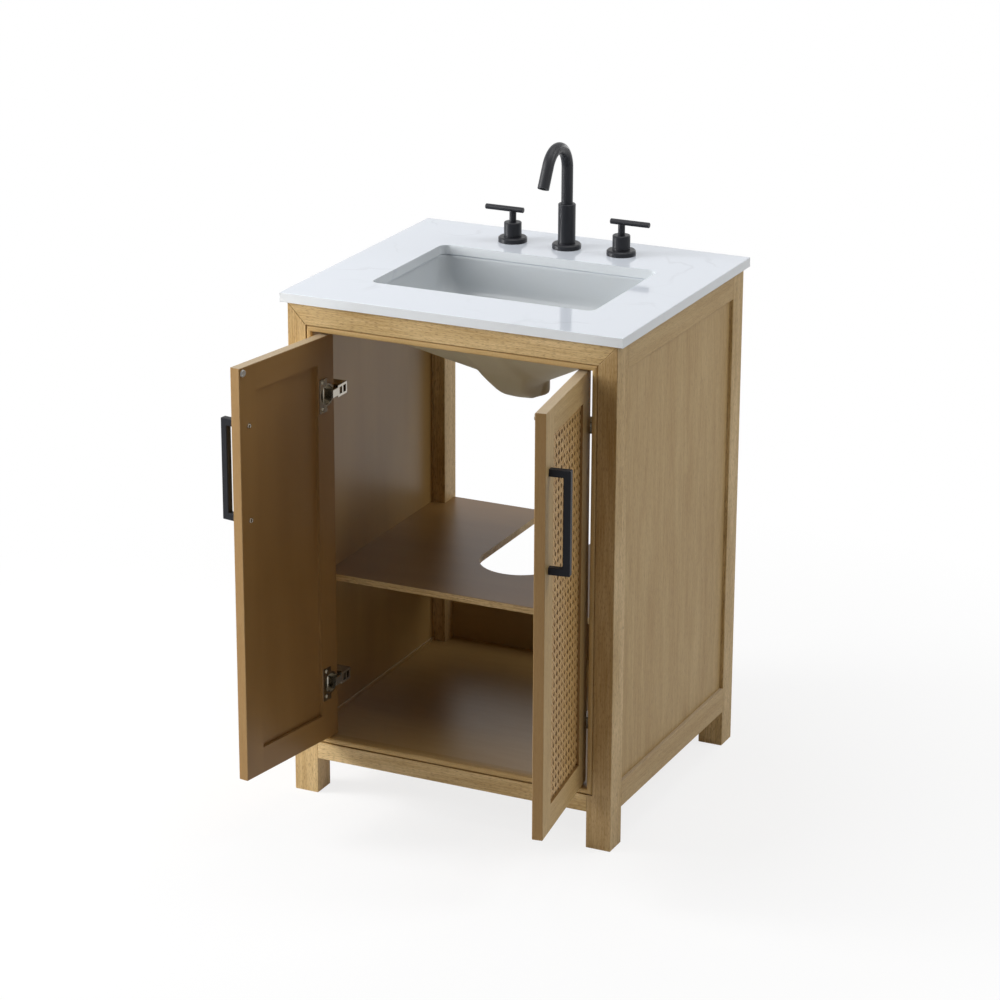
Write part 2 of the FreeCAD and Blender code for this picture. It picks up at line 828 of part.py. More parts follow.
def sink_clips():
    """Four bent straps that hold the basin's rim up against the slab."""
    rim = "bowl_length / 2 + bowl_wall + bowl_rim"
    clips = []
    for side, sign in SIDES:
        for number, sense in enumerate((-1, 1)):
            leg = f"{rim} + clip_slack"
            section = [
                (f"{rim} - clip_toe", "deck - bowl_rim_height - clip_gauge"),
                (f"{leg} + clip_gauge", "deck - bowl_rim_height - clip_gauge"),
                (f"{leg} + clip_gauge", "deck - clip_gauge"),
                (f"{rim} + clip_foot", "deck - clip_gauge"),
                (f"{rim} + clip_foot", "deck"),
                (leg, "deck"),
                (leg, "deck - bowl_rim_height"),
                (f"{rim} - clip_toe", "deck - bowl_rim_height"),
            ]
            clip = new_body(f"{side}_sink_clip_{number}")
            outline = polygon(*((signed(sign, across), up) for across, up in section))
            middle = f"bowl_centre + {sense} * clip_spacing / 2"
            pad(clip, "front", [outline], f"{middle} - clip_width / 2", f"{middle} + clip_width / 2")
            clips.append(clip)
    group("sink_clips", clips)


def on_deck(item, across):
    """Stand a piece on the slab, on the faucet's line."""
    return place(item, across, "faucet_line", "slab_top")


def escutcheon(label, across):
    """A turned flange with a bevelled rim, bored for the spigot above it."""
    body = revolve(
        new_body(f"{label}_body"),
        ("spigot_radius", "0"),
        ("escutcheon_radius", "0"),
        ("escutcheon_radius", "escutcheon_height - escutcheon_bevel"),
        ("escutcheon_radius - escutcheon_bevel", "escutcheon_height"),
        ("spigot_radius", "escutcheon_height"),
    )
    node(label, on_deck(body, across))


def spout():
    """Collar, bent tube and aerator; the tube turns in the collar."""
    escutcheon("spout_escutcheon", "0")
    bore = "spout_radius + running_play"
    collar = revolve(
        new_body("spout_collar_body"),
        ("0", "0"),
        ("spigot_radius", "0"),
        ("spigot_radius", "escutcheon_height"),
        ("collar_radius", "escutcheon_height"),
        ("collar_radius", "collar_top - turned_edge"),
        ("collar_radius - turned_edge", "collar_top"),
        (bore, "collar_top"),
        (bore, "spout_seat"),
        ("0", "spout_seat"),
    )
    node("spout_collar", on_deck(collar, "0"))
    tube = new_body("spout_tube_body")
    rings = [circle("0", "0", "spout_radius"), circle("0", "0", "spout_bore")]
    section = drawn(tube, "top", "spout_seat", rings)
    path = drawn(tube, "side", "0", [spout_path])
    pipe = tube.newObject("PartDesign::AdditivePipe", "Pipe")
    pipe.Profile = section
    pipe.Spine = (path, ["Edge1", "Edge2", "Edge3"])
    tube.Tip = pipe
    node("spout_tube", on_deck(tube, "0"))
    aerator = revolve(
        new_body("aerator_body"),
        ("aerator_bore", "0"),
        ("spout_bore", "0"),
        ("spout_bore", "aerator_depth"),
        ("0", "aerator_depth"),
        ("0", "aerator_depth / 2"),
        ("aerator_bore", "aerator_depth / 2"),
    )
    tail = "(spout_tail - aerator_set_in)"
    forward = f"spout_bend * (1 - cos(spout_sweep)) + {tail} * sin(spout_sweep)"
    rise = f"spout_bend * sin(spout_sweep) + {tail} * cos(spout_sweep)"
    height = f"slab_top + spout_seat + spout_straight + {rise}"
    sideways = FreeCAD.Vector(-1, 0, 0)
    place(aerator, "0", f"faucet_line - ({forward})", height, "180 - spout_sweep", sideways)
    node("aerator", aerator)


def spout_path(sketch):
    """The tube's centre line in the side view: straight up, over in one bend, then a straight tail."""
    seat, straight, bend = (SIZES[name] for name in ("spout_seat", "spout_straight", "spout_bend"))
    sweep = math.radians(SIZES["spout_sweep"])
    top = FreeCAD.Vector(0, seat + straight, 0)
    heart = top - FreeCAD.Vector(bend, 0, 0)
    fall = heart + FreeCAD.Vector(bend * math.cos(sweep), bend * math.sin(sweep), 0)
    tail = FreeCAD.Vector(-math.sin(sweep), math.cos(sweep), 0) * SIZES["spout_tail"]
    round_heart = Part.Circle(heart, UPWARD, bend)
    sketch.addGeometry(Part.LineSegment(FreeCAD.Vector(0, seat, 0), top), False)
    sketch.addGeometry(Part.ArcOfCircle(round_heart, 0, sweep), False)
    sketch.addGeometry(Part.LineSegment(fall, fall + tail), False)
    hold(sketch, "DistanceX", 0, 1, "0", 0)
    hold(sketch, "DistanceY", 0, 1, "spout_seat", seat)
    sketch.addConstraint(Sketcher.Constraint("Vertical", 0))
    sketch.addConstraint(Sketcher.Constraint("Tangent", 0, 2, 1, 1))
    sketch.addConstraint(Sketcher.Constraint("Tangent", 1, 2, 2, 1))
    measures = (
        (Sketcher.Constraint("Distance", 0, straight), "spout_straight"),
        (Sketcher.Constraint("Radius", 1, bend), "spout_bend"),
        (Sketcher.Constraint("Distance", 2, SIZES["spout_tail"]), "spout_tail"),
        (Sketcher.Constraint("DistanceY", 1, 3, 1, 2, fall.y - heart.y), "spout_bend * sin(spout_sweep)"),
    )
    for measure, text in measures:
        sketch.setExpression(f"Constraints[{sketch.addConstraint(measure)}]", formula(text))


def handle(side, sign):
    """Escutcheon, valve body and the T lever whose spindle turns in it."""
    across = signed(sign, "handle_spacing")
    escutcheon(f"{side}_escutcheon", across)
    valve = revolve(
        new_body(f"{side}_valve_body_body"),
        ("0", "0"),
        ("spigot_radius", "0"),
        ("spigot_radius", "escutcheon_height"),
        ("valve_radius", "escutcheon_height"),
        ("valve_radius", "valve_top - turned_edge"),
        ("valve_radius - turned_edge", "valve_top"),
        ("spindle_radius + running_play", "valve_top"),
        ("spindle_radius + running_play", "valve_top - spindle_depth"),
        ("0", "valve_top - spindle_depth"),
    )
    node(f"{side}_valve_body", on_deck(valve, across))
    lever = revolve(
        new_body(f"{side}_lever_body"),
        ("0", "valve_top - spindle_depth + stem_gap"),
        ("spindle_radius", "valve_top - spindle_depth + stem_gap"),
        ("spindle_radius", "valve_top + stem_gap"),
        ("stem_radius", "valve_top + stem_gap"),
        ("stem_radius", "bar_height - bar_radius / 2"),
        ("0", "bar_height - bar_radius / 2"),
    )
    low, high = span(sign, "0 - bar_inward", "bar_outward")
    pad(lever, "side", [circle("0", "bar_height", "bar_radius")], low, high)
    ends = {-SIZES["bar_inward"] * sign, SIZES["bar_outward"] * sign}

    def end_rim(edge):
        box = edge.BoundBox
        return box.XLength < NEAR and any(abs(box.XMin - end) < NEAR for end in ends)

    dress(lever, "Chamfer", "bar_edge", end_rim)
    node(f"{side}_lever", on_deck(lever, across))


def under_deck():
    """Threaded shanks below the slab, each with its nut drawn up against the stone."""
    shanks = []
    nuts = []
    for number, across in enumerate(faucet_rows()):
        shank = revolve(
            new_body(f"faucet_shank_{number}"),
            ("0", "0"),
            ("shank_radius", "0"),
            ("shank_radius", "0 - shank_bottom"),
            ("tail_radius", "0 - shank_bottom"),
            ("tail_radius", "0 - tail_bottom"),
            ("0", "0 - tail_bottom"),
        )
        shanks.append(on_deck(shank, across))
        nut = new_body(f"faucet_nut_{number}")
        corners = [(f"nut_radius * cos({turn})", f"nut_radius * sin({turn})") for turn in range(0, 360, 60)]
        outlines = [polygon(*corners), circle("0", "0", "shank_radius")]
        pad(nut, "top", outlines, "0 - slab_thickness - nut_height", "0 - slab_thickness")
        nuts.append(on_deck(nut, across))
    group("faucet_shanks", shanks)
    group("faucet_nuts", nuts)


def hung(side, body):
    """Hang a piece of a door, drawn closed about the hinge pin, at the door's open angle."""
    left = side == "left"
    across = "0 - pin_side" if left else "pin_side"
    axis = FreeCAD.Vector(0, 0, -1) if left else UPWARD
    return place(body, across, "pin_back", "0", f"{side}_angle", axis)


def hinge_heights():
    return "door_bottom + hinge_end", "door_top - hinge_end"


def pull_heights():
    return "pull_height - pull_centres / 2", "pull_height + pull_centres / 2"


def cup_screw_rows(height):
    return f"{height} - cup_screw_spacing / 2", f"{height} + cup_screw_spacing / 2"


def plate_screw_rows(height):
    return f"{height} - plate_screw_spacing / 2", f"{height} + plate_screw_spacing / 2"


def door_frame(side, hand):
    """Two stiles and two rails, grooved for the panel, with the cane set into the front."""

    def across(text):
        return signed(hand, text)

    def piece(name):
        return new_body(f"{side}_{name}_body")

    outer, inner = ("XMin", "XMax") if hand > 0 else ("XMax", "XMin")
    grooved = ("cane_back", "door_panel_back")
    thickness = ("door_front", "door_back")
    ends = ("door_bottom", "door_top")
    inner_low = "door_bottom + door_rail_width"
    inner_high = "door_top - door_rail_width"
    hinge_stile = piece("door_hinge_stile")
    stile = rectangle(across("0 - pin_inset"), ends[0], across("hinge_stile_edge"), ends[1])
    pad(hinge_stile, "front", [stile], *thickness)
    ease(hinge_stile, outer, "ZMin", "ZMax")
    groove_edge = across("hinge_stile_edge - door_groove")
    groove = rectangle(groove_edge, ends[0], across("hinge_stile_edge"), ends[1])
    cut(hinge_stile, "front", [groove], *grooved)
    cups = [circle(across("cup_offset"), height, "cup_radius + screw_play") for height in hinge_heights()]
    cut(hinge_stile, "front", cups, "door_back - cup_depth", "door_back")
    pilots = [
        circle(across("cup_screw_line"), row, "cup_screw_radius + screw_play")
        for height in hinge_heights()
        for row in cup_screw_rows(height)
    ]
    cut(hinge_stile, "front", pilots, "door_back - cup_screw_reach", "door_back")
    node(f"{side}_door_hinge_stile", hung(side, hinge_stile))
    pull_stile = piece("door_pull_stile")
    stile = rectangle(across("pull_stile_edge"), ends[0], across("door_free"), ends[1])
    pad(pull_stile, "front", [stile], *thickness)
    ease(pull_stile, inner, "ZMin", "ZMax")
    groove_end = across("pull_stile_edge + door_groove")
    groove = rectangle(across("pull_stile_edge"), ends[0], groove_end, ends[1])
    cut(pull_stile, "front", [groove], *grooved)
    hole = "pull_screw_radius + screw_play"
    holes = [circle(across("pull_line"), height, hole) for height in pull_heights()]
    cut(pull_stile, "front", holes, *thickness)
    node(f"{side}_door_pull_stile", hung(side, pull_stile))
    rails = (
        ("top", "ZMax", (inner_high, ends[1]), (inner_high, f"{inner_high} + door_groove")),
        ("bottom", "ZMin", (ends[0], inner_low), (f"{inner_low} - door_groove", inner_low)),
    )
    shoulders = (across("hinge_stile_edge"), across("pull_stile_edge"))
    for name, rim, (low, high), (groove_low, groove_high) in rails:
        rail = piece(f"door_{name}_rail")
        pad(rail, "front", [rectangle(shoulders[0], low, shoulders[1], high)], *thickness)
        ease(rail, rim)
        pad(rail, "front", [rectangle(groove_edge, low, groove_end, high)], *grooved)
        cut(rail, "front", [rectangle(groove_edge, groove_low, groove_end, groove_high)], *grooved)
        node(f"{side}_door_{name}_rail", hung(side, rail))
    panel = piece("door_panel")
    sheet_edge = rectangle(
        across("hinge_stile_edge - door_groove + groove_play"),
        f"{inner_low} - door_groove + groove_play",
        across("pull_stile_edge + door_groove - groove_play"),
        f"{inner_high} + door_groove - groove_play",
    )
    pad(panel, "front", [sheet_edge], *grooved)
    node(f"{side}_door_panel", hung(side, panel))
    cane = piece("door_cane")
    opening = rectangle(shoulders[0], inner_low, shoulders[1], inner_high)
    pad(cane, "front", [opening], "door_front + cane_recess", "cane_back")
    node(f"{side}_door_cane", hung(side, cane))


def door_pull(side, hand):
    """A square bar bent twice into a U, drilled for its two screws, and the clear bumper."""
    line = signed(hand, "pull_line")
    pull = new_body(f"{side}_pull_body")
    half = "pull_section / 2"
    low, high = pull_heights()
    face = "door_front"
    reach = "door_front - pull_projection"
    section = polygon(
        (face, f"{low} - {half}"),
        (face, f"{low} + {half}"),
        (f"{reach} + pull_section", f"{low} + {half}"),
        (f"{reach} + pull_section", f"{high} - {half}"),
        (face, f"{high} - {half}"),
        (face, f"{high} + {half}"),
        (reach, f"{high} + {half}"),
        (reach, f"{low} - {half}"),
    )
    pad(pull, "side", [section], f"{line} - {half}", f"{line} + {half}")
    door_face = -SIZES["pin_depth"] - NEAR
    dress(pull, "Chamfer", "pull_edge", lambda edge: edge.BoundBox.YMin < door_face)
    holes = [circle(line, height, "pull_screw_radius") for height in (low, high)]
    cut(pull, "front", holes, "door_front - pull_screw_reach", "door_front")
    node(f"{side}_pull", hung(side, pull))
    bumper = new_body(f"{side}_bumper_body")
    spot = circle(signed(hand, "door_free - bumper_inset"), "door_top - bumper_inset", "bumper_radius")
    pad(bumper, "front", [spot], "door_back", "door_back + bumper_height")
    crown = SIZES["door_thickness"] - SIZES["pin_depth"] + SIZES["bumper_height"] - NEAR
    dress(bumper, "Fillet", "bumper_round", lambda edge: edge.BoundBox.YMin > crown)
    node(f"{side}_bumper", hung(side, bumper))


def screw(name, across, height, shank, reach, head, base):
    """A pan-head screw driven forwards from the inner side of a door."""
    body = new_body(name)
    pad(body, "front", [circle(across, height, shank)], f"{base} - ({reach})", base)
    pad(body, "front", [circle(across, height, head)], base, f"{base} + head_height")
    return body


def door_hinges(side, hand):
    """Cups let into the hinge stile, their pins, and the screws of the cups and the pull."""
    line = signed(hand, "cup_offset")
    screw_line = signed(hand, "cup_screw_line")
    cups = []
    pins = []
    screws = []
    brim = "door_back + flange_gauge"
    for number, height in enumerate(hinge_heights()):
        cup = new_body(f"{side}_hinge_cup_{number}")
        pad(cup, "front", [circle(line, height, "cup_radius")], "door_back - cup_depth", "door_back")
        pad(cup, "front", [circle(line, height, "cup_radius + flange_rim")], "door_back", brim)
        wing = rectangle(
            f"{screw_line} - flange_width / 2",
            f"{height} - flange_length / 2",
            f"{screw_line} + flange_width / 2",
            f"{height} + flange_length / 2",
        )
        pad(cup, "front", [wing], "door_back", brim)
        hollow = circle(line, height, "cup_radius - cup_wall")
        cut(cup, "front", [hollow], "door_back - cup_depth + cup_wall", brim)
        for row in cup_screw_rows(height):
            hole = circle(screw_line, row, "cup_screw_radius + screw_play")
            cut(cup, "front", [hole], "door_back", brim)
            reach = "cup_screw_reach + flange_gauge"
            name = f"{side}_cup_screw_{len(screws)}"
            item = screw(name, screw_line, row, "cup_screw_radius", reach, "cup_head_radius", brim)
            screws.append(hung(side, item))
        low, high = f"{height} - pin_length / 2", f"{height} + pin_length / 2"
        cut(cup, "top", [circle("0", "0", "pin_radius")], low, high)
        cups.append(hung(side, cup))
        pin = new_body(f"{side}_hinge_pin_{number}")
        pad(pin, "top", [circle("0", "0", "pin_radius")], low, high)
        pins.append(hung(side, pin))
    pull_line = signed(hand, "pull_line")
    reach = "door_thickness + pull_screw_reach"
    for number, height in enumerate(pull_heights()):
        name = f"{side}_pull_screw_{number}"
        item = screw(name, pull_line, height, "pull_screw_radius", reach, "pull_head_radius", "door_back")
        screws.append(hung(side, item))
    group(f"{side}_hinge_cups", cups)
    group(f"{side}_hinge_pins", pins)
    group(f"{side}_door_screws", screws)


def cabinet_hinges():
    """Mounting plates on the front legs, and cranked arms round the door's edge to the pins."""
    plates = []
    arms = []
    screws = []
    half = "arm_gauge / 2"
    strip = (f"arm_crank - {half}", f"arm_crank + {half}")
    reach = f"arm_back + {half}"
    for side, hand in (("left", 1), ("right", -1)):
        corner = ("0 - pin_side" if hand > 0 else "pin_side", "pin_back")
        for number, height in enumerate(hinge_heights()):

            def turned(*points):
                return polygon(*((signed(hand, across), along) for across, along in points))

            def tall(size):
                return f"{height} - ({size}) / 2", f"{height} + ({size}) / 2"

            link = turned(
                ("0", f"0 - {half}"),
                (strip[1], f"0 - {half}"),
                (strip[1], "arm_shoulder"),
                (strip[0], "arm_shoulder"),
                (strip[0], half),
                ("0", half),
            )
            bridge = turned(
                (strip[1], "arm_shoulder"),
                (strip[1], reach),
                ("plate_face", reach),
                ("plate_face", f"arm_back - {half}"),
                (strip[0], f"arm_back - {half}"),
                (strip[0], "arm_shoulder"),
            )
            cheek = turned(
                ("plate_face", "arm_cheek"),
                (strip[1], "arm_cheek"),
                (strip[1], reach),
                ("plate_face", reach),
            )
            arm = new_body(f"{side}_hinge_arm_{number}")
            pad(arm, "top", [link], *tall("arm_link_height"))
            pad(arm, "top", [circle("0", "0", "eye_radius")], *tall("arm_link_height"))
            low, high = tall("arm_height")
            pad(arm, "top", [bridge], low, high)
            pad(arm, "top", [cheek], low, f"{low} + arm_gauge")
            pad(arm, "top", [cheek], f"{high} - arm_gauge", high)
            eye = circle("0", "0", "pin_radius + running_play")
            cut(arm, "top", [eye], *tall("arm_link_height"))
            arms.append(place(arm, *corner))
            plate = new_body(f"{side}_hinge_plate_{number}")
            outline = turned(
                ("leg_face", "plate_front"),
                ("plate_face", "plate_front"),
                ("plate_face", "plate_back"),
                ("leg_face", "plate_back"),
            )
            pad(plate, "top", [outline], *tall("plate_height"))
            shank = span(hand, "leg_face - plate_screw_reach", "plate_face")
            head = span(hand, "plate_face", "plate_face + head_height")
            for row in plate_screw_rows(height):
                hole = circle("plate_screw_line", row, "cup_screw_radius")
                cut(plate, "side", [hole], *span(hand, "leg_face", "plate_face"))
                item = new_body(f"{side}_plate_screw_{len(screws)}")
                pad(item, "side", [hole], *shank)
                pad(item, "side", [circle("plate_screw_line", row, "cup_head_radius")], *head)
                screws.append(place(item, *corner))
            plates.append(place(plate, *corner))
    group("hinge_plates", plates)
    group("hinge_arms", arms)
    group("hinge_plate_screws", screws)


def build():
    """Make every piece of the vanity."""
    for side, sign in SIDES:
        front_leg(side, sign)
        back_leg(side, sign)
        side_frame(side, sign)
    front_rails()
    opening_beads()
    back_boards()
    inside_boards()
    corner_blocks()
    countertop()
    sink_basin()
    sink_clips()
    spout()
    for side, sign in SIDES:
        handle(side, sign)
    under_deck()
    cabinet_hinges()
    for side, hand in (("left", 1), ("right", -1)):
        door_frame(side, hand)
        door_pull(side, hand)
        door_hinges(side, hand)
    doc.recompute()


def export():
    """Check every object, then write each sub-part to its own file."""
    faults = [item.Name for item in doc.Objects if {"Invalid", "Error"} & set(item.State)]
    faults += [item.Label for item in nodes if item.Shape.isNull() or not item.Shape.isValid()]
    if faults:
        raise RuntimeError("failed objects: " + ", ".join(faults))
    os.makedirs("parts", exist_ok=True)
    for item in nodes:
        item.Shape.exportStep(f"parts/{item.Label}.step")


build()
export()
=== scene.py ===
"""Finishes, woven cane, fittings and a plain studio for an oak bathroom vanity.

Metres, in the construction's own frame: +X is the user's right, +Y runs to the wall and +Z is up.
"""

import itertools
import json
import math

import bmesh
import bpy
from bpy.props import FloatProperty, FloatVectorProperty, IntProperty, PointerProperty
from bpy.types import Operator, Panel, PropertyGroup
from mathutils import Matrix, Vector


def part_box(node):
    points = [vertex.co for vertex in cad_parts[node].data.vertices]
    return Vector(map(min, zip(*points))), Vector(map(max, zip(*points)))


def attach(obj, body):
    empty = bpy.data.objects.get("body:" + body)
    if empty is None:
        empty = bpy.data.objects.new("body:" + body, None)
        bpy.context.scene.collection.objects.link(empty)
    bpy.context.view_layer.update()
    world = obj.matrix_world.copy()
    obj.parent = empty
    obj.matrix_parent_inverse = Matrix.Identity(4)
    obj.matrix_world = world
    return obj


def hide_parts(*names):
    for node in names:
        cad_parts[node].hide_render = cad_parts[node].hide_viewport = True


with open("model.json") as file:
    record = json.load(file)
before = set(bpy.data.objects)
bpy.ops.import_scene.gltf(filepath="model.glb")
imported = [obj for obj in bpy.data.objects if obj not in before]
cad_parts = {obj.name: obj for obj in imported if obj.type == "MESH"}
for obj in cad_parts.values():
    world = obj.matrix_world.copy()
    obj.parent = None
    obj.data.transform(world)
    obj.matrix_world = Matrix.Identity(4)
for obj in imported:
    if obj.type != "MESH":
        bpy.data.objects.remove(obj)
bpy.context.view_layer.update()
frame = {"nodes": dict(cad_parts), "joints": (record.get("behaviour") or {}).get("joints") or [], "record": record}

bl_info = {
    "name": "Oak Vanity",
    "version": (1, 0, 0),
    "blender": (4, 5, 0),
    "location": "View3D > Sidebar > Vanity",
    "description": "Dresses an oak vanity with its finishes, woven cane and small fittings",
    "category": "Object",
}

MM = 0.001
TOUCH = 0.001 * MM  # points nearer to each other than this are one
SIDES = ("left", "right")
JOINTS = {joint["child"]: joint for joint in frame["joints"]}

# Square to the basin's sloping bottom, forward and down
CHANNEL_WAY = Vector((0, -0.52, -0.85))

# How far each set of strands lies forward of the webbing's back, counted in thicknesses of a strand; the
# two sets of diagonals lie a step either side of theirs
UPRIGHT_LAYER, LEVEL_LAYER, DIAGONAL_LAYER, DIAGONAL_STEP = 0.4, 1.3, 1.9, 0.2

# Place and width in metres, and power in watts, of each soft light; all face the cabinet's middle
CABINET_MIDDLE = Vector((0.0, 0.1, 0.5))
LIGHTS = {
    "key_light": ((-2.6, -3.4, 3.4), 2.2, 46),
    "left_light": ((-3.4, -1.85, 2.75), 1.6, 52),
    "near_light": ((-2.2, -0.9, 1.25), 0.9, 54),
    "side_light": ((2.4, 1.1, 2.7), 1.5, 33),
    "top_light": ((0.2, 0.2, 4.2), 3.0, 54),
    "back_light": ((0.5, 3.4, 1.15), 1.0, 10),
}

# Sockets of the Mix node, which share their names between its types
FACTOR, FLOAT_A, FLOAT_B, COLOR_A, COLOR_B = 0, 2, 3, 6, 7
MIXED_COLOR = 2


def linear(code):
    """Turn an sRGB hex value into linear red, green, blue and alpha."""
    shades = [int(code[start:start + 2], 16) / 255 for start in (1, 3, 5)]
    return (*(s / 12.92 if s <= 0.04045 else ((s + 0.055) / 1.055) ** 2.4 for s in shades), 1.0)


def colour(name, code, note):
    """A colour setting whose default is an sRGB hex value."""
    return FloatVectorProperty(
        name=name, description=note, subtype="COLOR", size=4, min=0, max=1, default=linear(code)
    )


def length(name, millimetres, note):
    """A length setting whose default is in millimetres."""
    return FloatProperty(name=name, description=note, unit="LENGTH", default=millimetres * MM, precision=4)


def count(name, number, note, least=0):
    """A whole number setting."""
    return IntProperty(name=name, description=note, default=number, min=least)


class OakSettings(PropertyGroup):
    """Brushed oak under a satin coat."""

    pale: colour("Early wood", "#D8BC8B", "The lighter bands of the grain")
    deep: colour("Late wood", "#AC8C56", "The darker bands of the grain")
    # Bead: darker than the rails as painted shade round the door opening
    bead: colour("Bead", "#BF9F6C", "The bead round the door opening")
    panel_pale: colour("Panels, early wood", "#C3A673", "The lighter bands on the doors and side panels")
    panel_deep: colour("Panels, late wood", "#AD8E5C", "The darker bands on the doors and side panels")
    # Door edges: the doors' free edges are painted darker, painted shade of edges turned from the light
    edge: colour("Door edges", "#8C683A", "The stained free edges of the doors")
    pore: colour("Pores", "#7C5F3A", "The short open pores that brushing brings out")
    # Top edges: the grey on faces that look up is a painted sheen of the light from above
    sealed: colour("Top edges", "#B3ABA0", "Sealed edges that look up, greyer than the faces")
    # Inside and lining colours: darker as painted shade, the shade inside the cabinet, on the shelf, behind the
    # doors and in their recesses
    shaded_inside_pale: colour("Inside, light", "#AF9058", "Veneered faces inside the cabinet, lighter figure")
    shaded_inside_deep: colour("Inside, dark", "#9B7B4A", "Veneered faces inside the cabinet, darker figure")
    shaded_lining_pale: colour("Lining, light", "#957344", "The backs of the doors and the shelf, lighter figure")
    shaded_lining_deep: colour("Lining, dark", "#836238", "The backs of the doors and the shelf, darker figure")
    back_drop: length("Back drop", 14, "How far the low back board stops short of its groove's end")
    fibre: length("Fibre", 1.7, "Width of a streak of fibres, as coarse as it needs to be to show")
    ring: length("Ring", 9, "Spacing of the growth rings on a flat-sawn face")
    pore_length: length("Pore length", 9, "Length of an open pore along the grain")


class CaneSettings(PropertyGroup):
    """Machine-woven cane webbing with octagonal holes."""

    light: colour("Cane, light", "#D3AE74", "The glossy outer skin of the cane")
    dark: colour("Cane, dark", "#B58C52", "Darker stretches along a strand")
    # The dark sheet behind the cane is painted shade that the holes show; its two tones vary at random
    shade_backing: colour("Backing", "#5E4222", "The stained board that shows through the holes")
    shade_backing_light: colour("Backing, light", "#70522D", "Where the stain took less")
    rows: count("Rows", 42, "Holes in the height of a door", 4)
    strand: length("Strand", 2.8, "Width of an upright or level strand")
    diagonal: length("Diagonal", 3.5, "Width of a diagonal strand")
    pair_gap: length("Pair gap", 0.9, "Gap between the two strands of a pair")
    gauge: length("Gauge", 0.5, "Thickness of a strand")
    wave: length("Wave", 0.3, "How far a strand bends over and under the others")
    proud: length("Proud", 2.5, "How far the webbing stands forward of its groove in the door")


class StoneSettings(PropertyGroup):
    """Polished engineered stone."""

    ground: colour("Ground", "#DFE5EE", "The bluish white of the stone")
    # Upright faces of the slab get this less blue white, the top and the underside the ground
    sawn: colour("Sawn edge", "#E1E5E8", "Ground of the slab's edges, which look less blue")
    vein: colour("Vein", "#C9CED7", "The faint grey veins")
    vein_spacing: length("Vein spacing", 190, "Distance between veins")


class FittingSettings(PropertyGroup):
    """The basin, the faucet and the small fittings."""

    glaze: colour("Glaze", "#CBD0D4", "White glaze of the basin")
    cream: colour("Cream", "#C9CBC8", "Where the glaze is thin and warmer")
    # Biscuit: unglazed clay whose warm grey is painted shade and warm bounce light from the wood under the basin
    biscuit_and_shade: colour("Biscuit", "#C2B798", "Bare fired clay under the basin")
    seal: colour("Seal", "#DDE1E6", "Silicone that closes the joint under the stone")
    seal_height: length("Seal height", 3, "Height of the silicone on the basin's wall")
    cast_cell: length("Cast cell", 3, "Size of the cells in which the basin is smoothed")
    cast_rounds: count("Cast rounds", 12, "How often the basin is smoothed")
    boss_rounds: count("Boss rounds", 4, "How often the basin is smoothed with the drain's boss on it")
    boss_height: length("Boss height", 27, "Height of the drain's boss")
    boss_radius: length("Boss radius", 37, "Radius of the drain's boss")
    drain_radius: length("Drain radius", 22.5, "Radius of the drain's hole")
    boss_reach: length("Boss reach", 25, "From the drain's middle forward to the end of the channel")
    channel_draw: FloatProperty(
        name="Channel draw", description="Share by which the channel narrows", subtype="FACTOR", default=0.5
    )
    channel_half: length("Channel half width", 49, "Half the width of the overflow's channel, with play")
    channel_run: length("Channel run", 88, "Length of the channel on the basin's sloping bottom")
    channel_sag: length("Channel sag", 7.5, "How far the channel sags below a straight run")
    rim_height: length("Rim height", 14, "Height below the stone that stays crisp")
    black: colour("Black", "#1A1B1F", "Matte black coat of the faucet")
    black_worn: colour("Black, worn", "#222328", "The faucet's coat where it is rubbed")
    pull_black: colour("Pull black", "#1E1F23", "Dead flat black coat of the pulls")
    pull_worn: colour("Pull black, worn", "#26272C", "The pulls' coat where it is rubbed")
    plastic: colour("Plastic", "#141415", "Moulded black insert of the spout")
    plastic_worn: colour("Plastic, worn", "#1E1E20", "The insert where it is rubbed")
    nickel: colour("Nickel", "#B8B2A6", "Plating of the hinges, clips and screws")
    nickel_worn: colour("Nickel, worn", "#9C968A", "Duller patches of the plating")
    brass: colour("Brass", "#C8A356", "Turned shanks and nuts below the top")
    brass_worn: colour("Brass, worn", "#B58F45", "Tarnished patches of the brass")
    bumper: colour("Bumper", "#F2F2EE", "Clear soft bumpers")
    bumper_worn: colour("Bumper, worn", "#D8D8D4", "Dusty patches of the bumpers")
    head_radius: length("Head radius", 4.2, "Radius of a pull screw's head")
    head_height: length("Head height", 2.4, "Height of a pull screw's head")
    arm_gauge: length("Arm gauge", 2.5, "Thickness of a hinge arm's sheet")
    arm_height: length("Arm height", 20, "Height of a hinge arm's channel")
    arm_window: length("Arm opening", 9, "Length of each opening in a hinge arm")
    arm_window_height: length("Arm opening height", 12, "Height of each opening in a hinge arm")
    arm_web: length("Arm web", 4, "Sheet left between a hinge arm's openings and at its end")


class StudioSettings(PropertyGroup):
    """Camera, floor and lights."""

    camera_place: FloatVectorProperty(
        name="Camera", description="Where the camera stands", subtype="TRANSLATION", unit="LENGTH",
        default=(2.2898, -4.7979, 2.3710),
    )
    camera_turn: FloatProperty(
        name="Turn", description="Turn of the camera about the upright", subtype="ANGLE",
        default=math.radians(26.04),
    )
    camera_tilt: FloatProperty(
        name="Tilt", description="How far the camera looks down", subtype="ANGLE",
        default=math.radians(19.05),
    )
    camera_lens: FloatProperty(
        name="Lens", description="Focal length on a 36 mm sensor, in millimetres", default=121.5, min=1
    )
    camera_shift: FloatVectorProperty(
        name="Shift", description="Shift of the frame across and up", size=2, default=(0.0394, -0.0088)
    )
    floor: colour("Floor", "#F4F4F4", "The pale floor")
    floor_reach: length("Floor reach", 14000, "How far the floor runs from the cabinet")


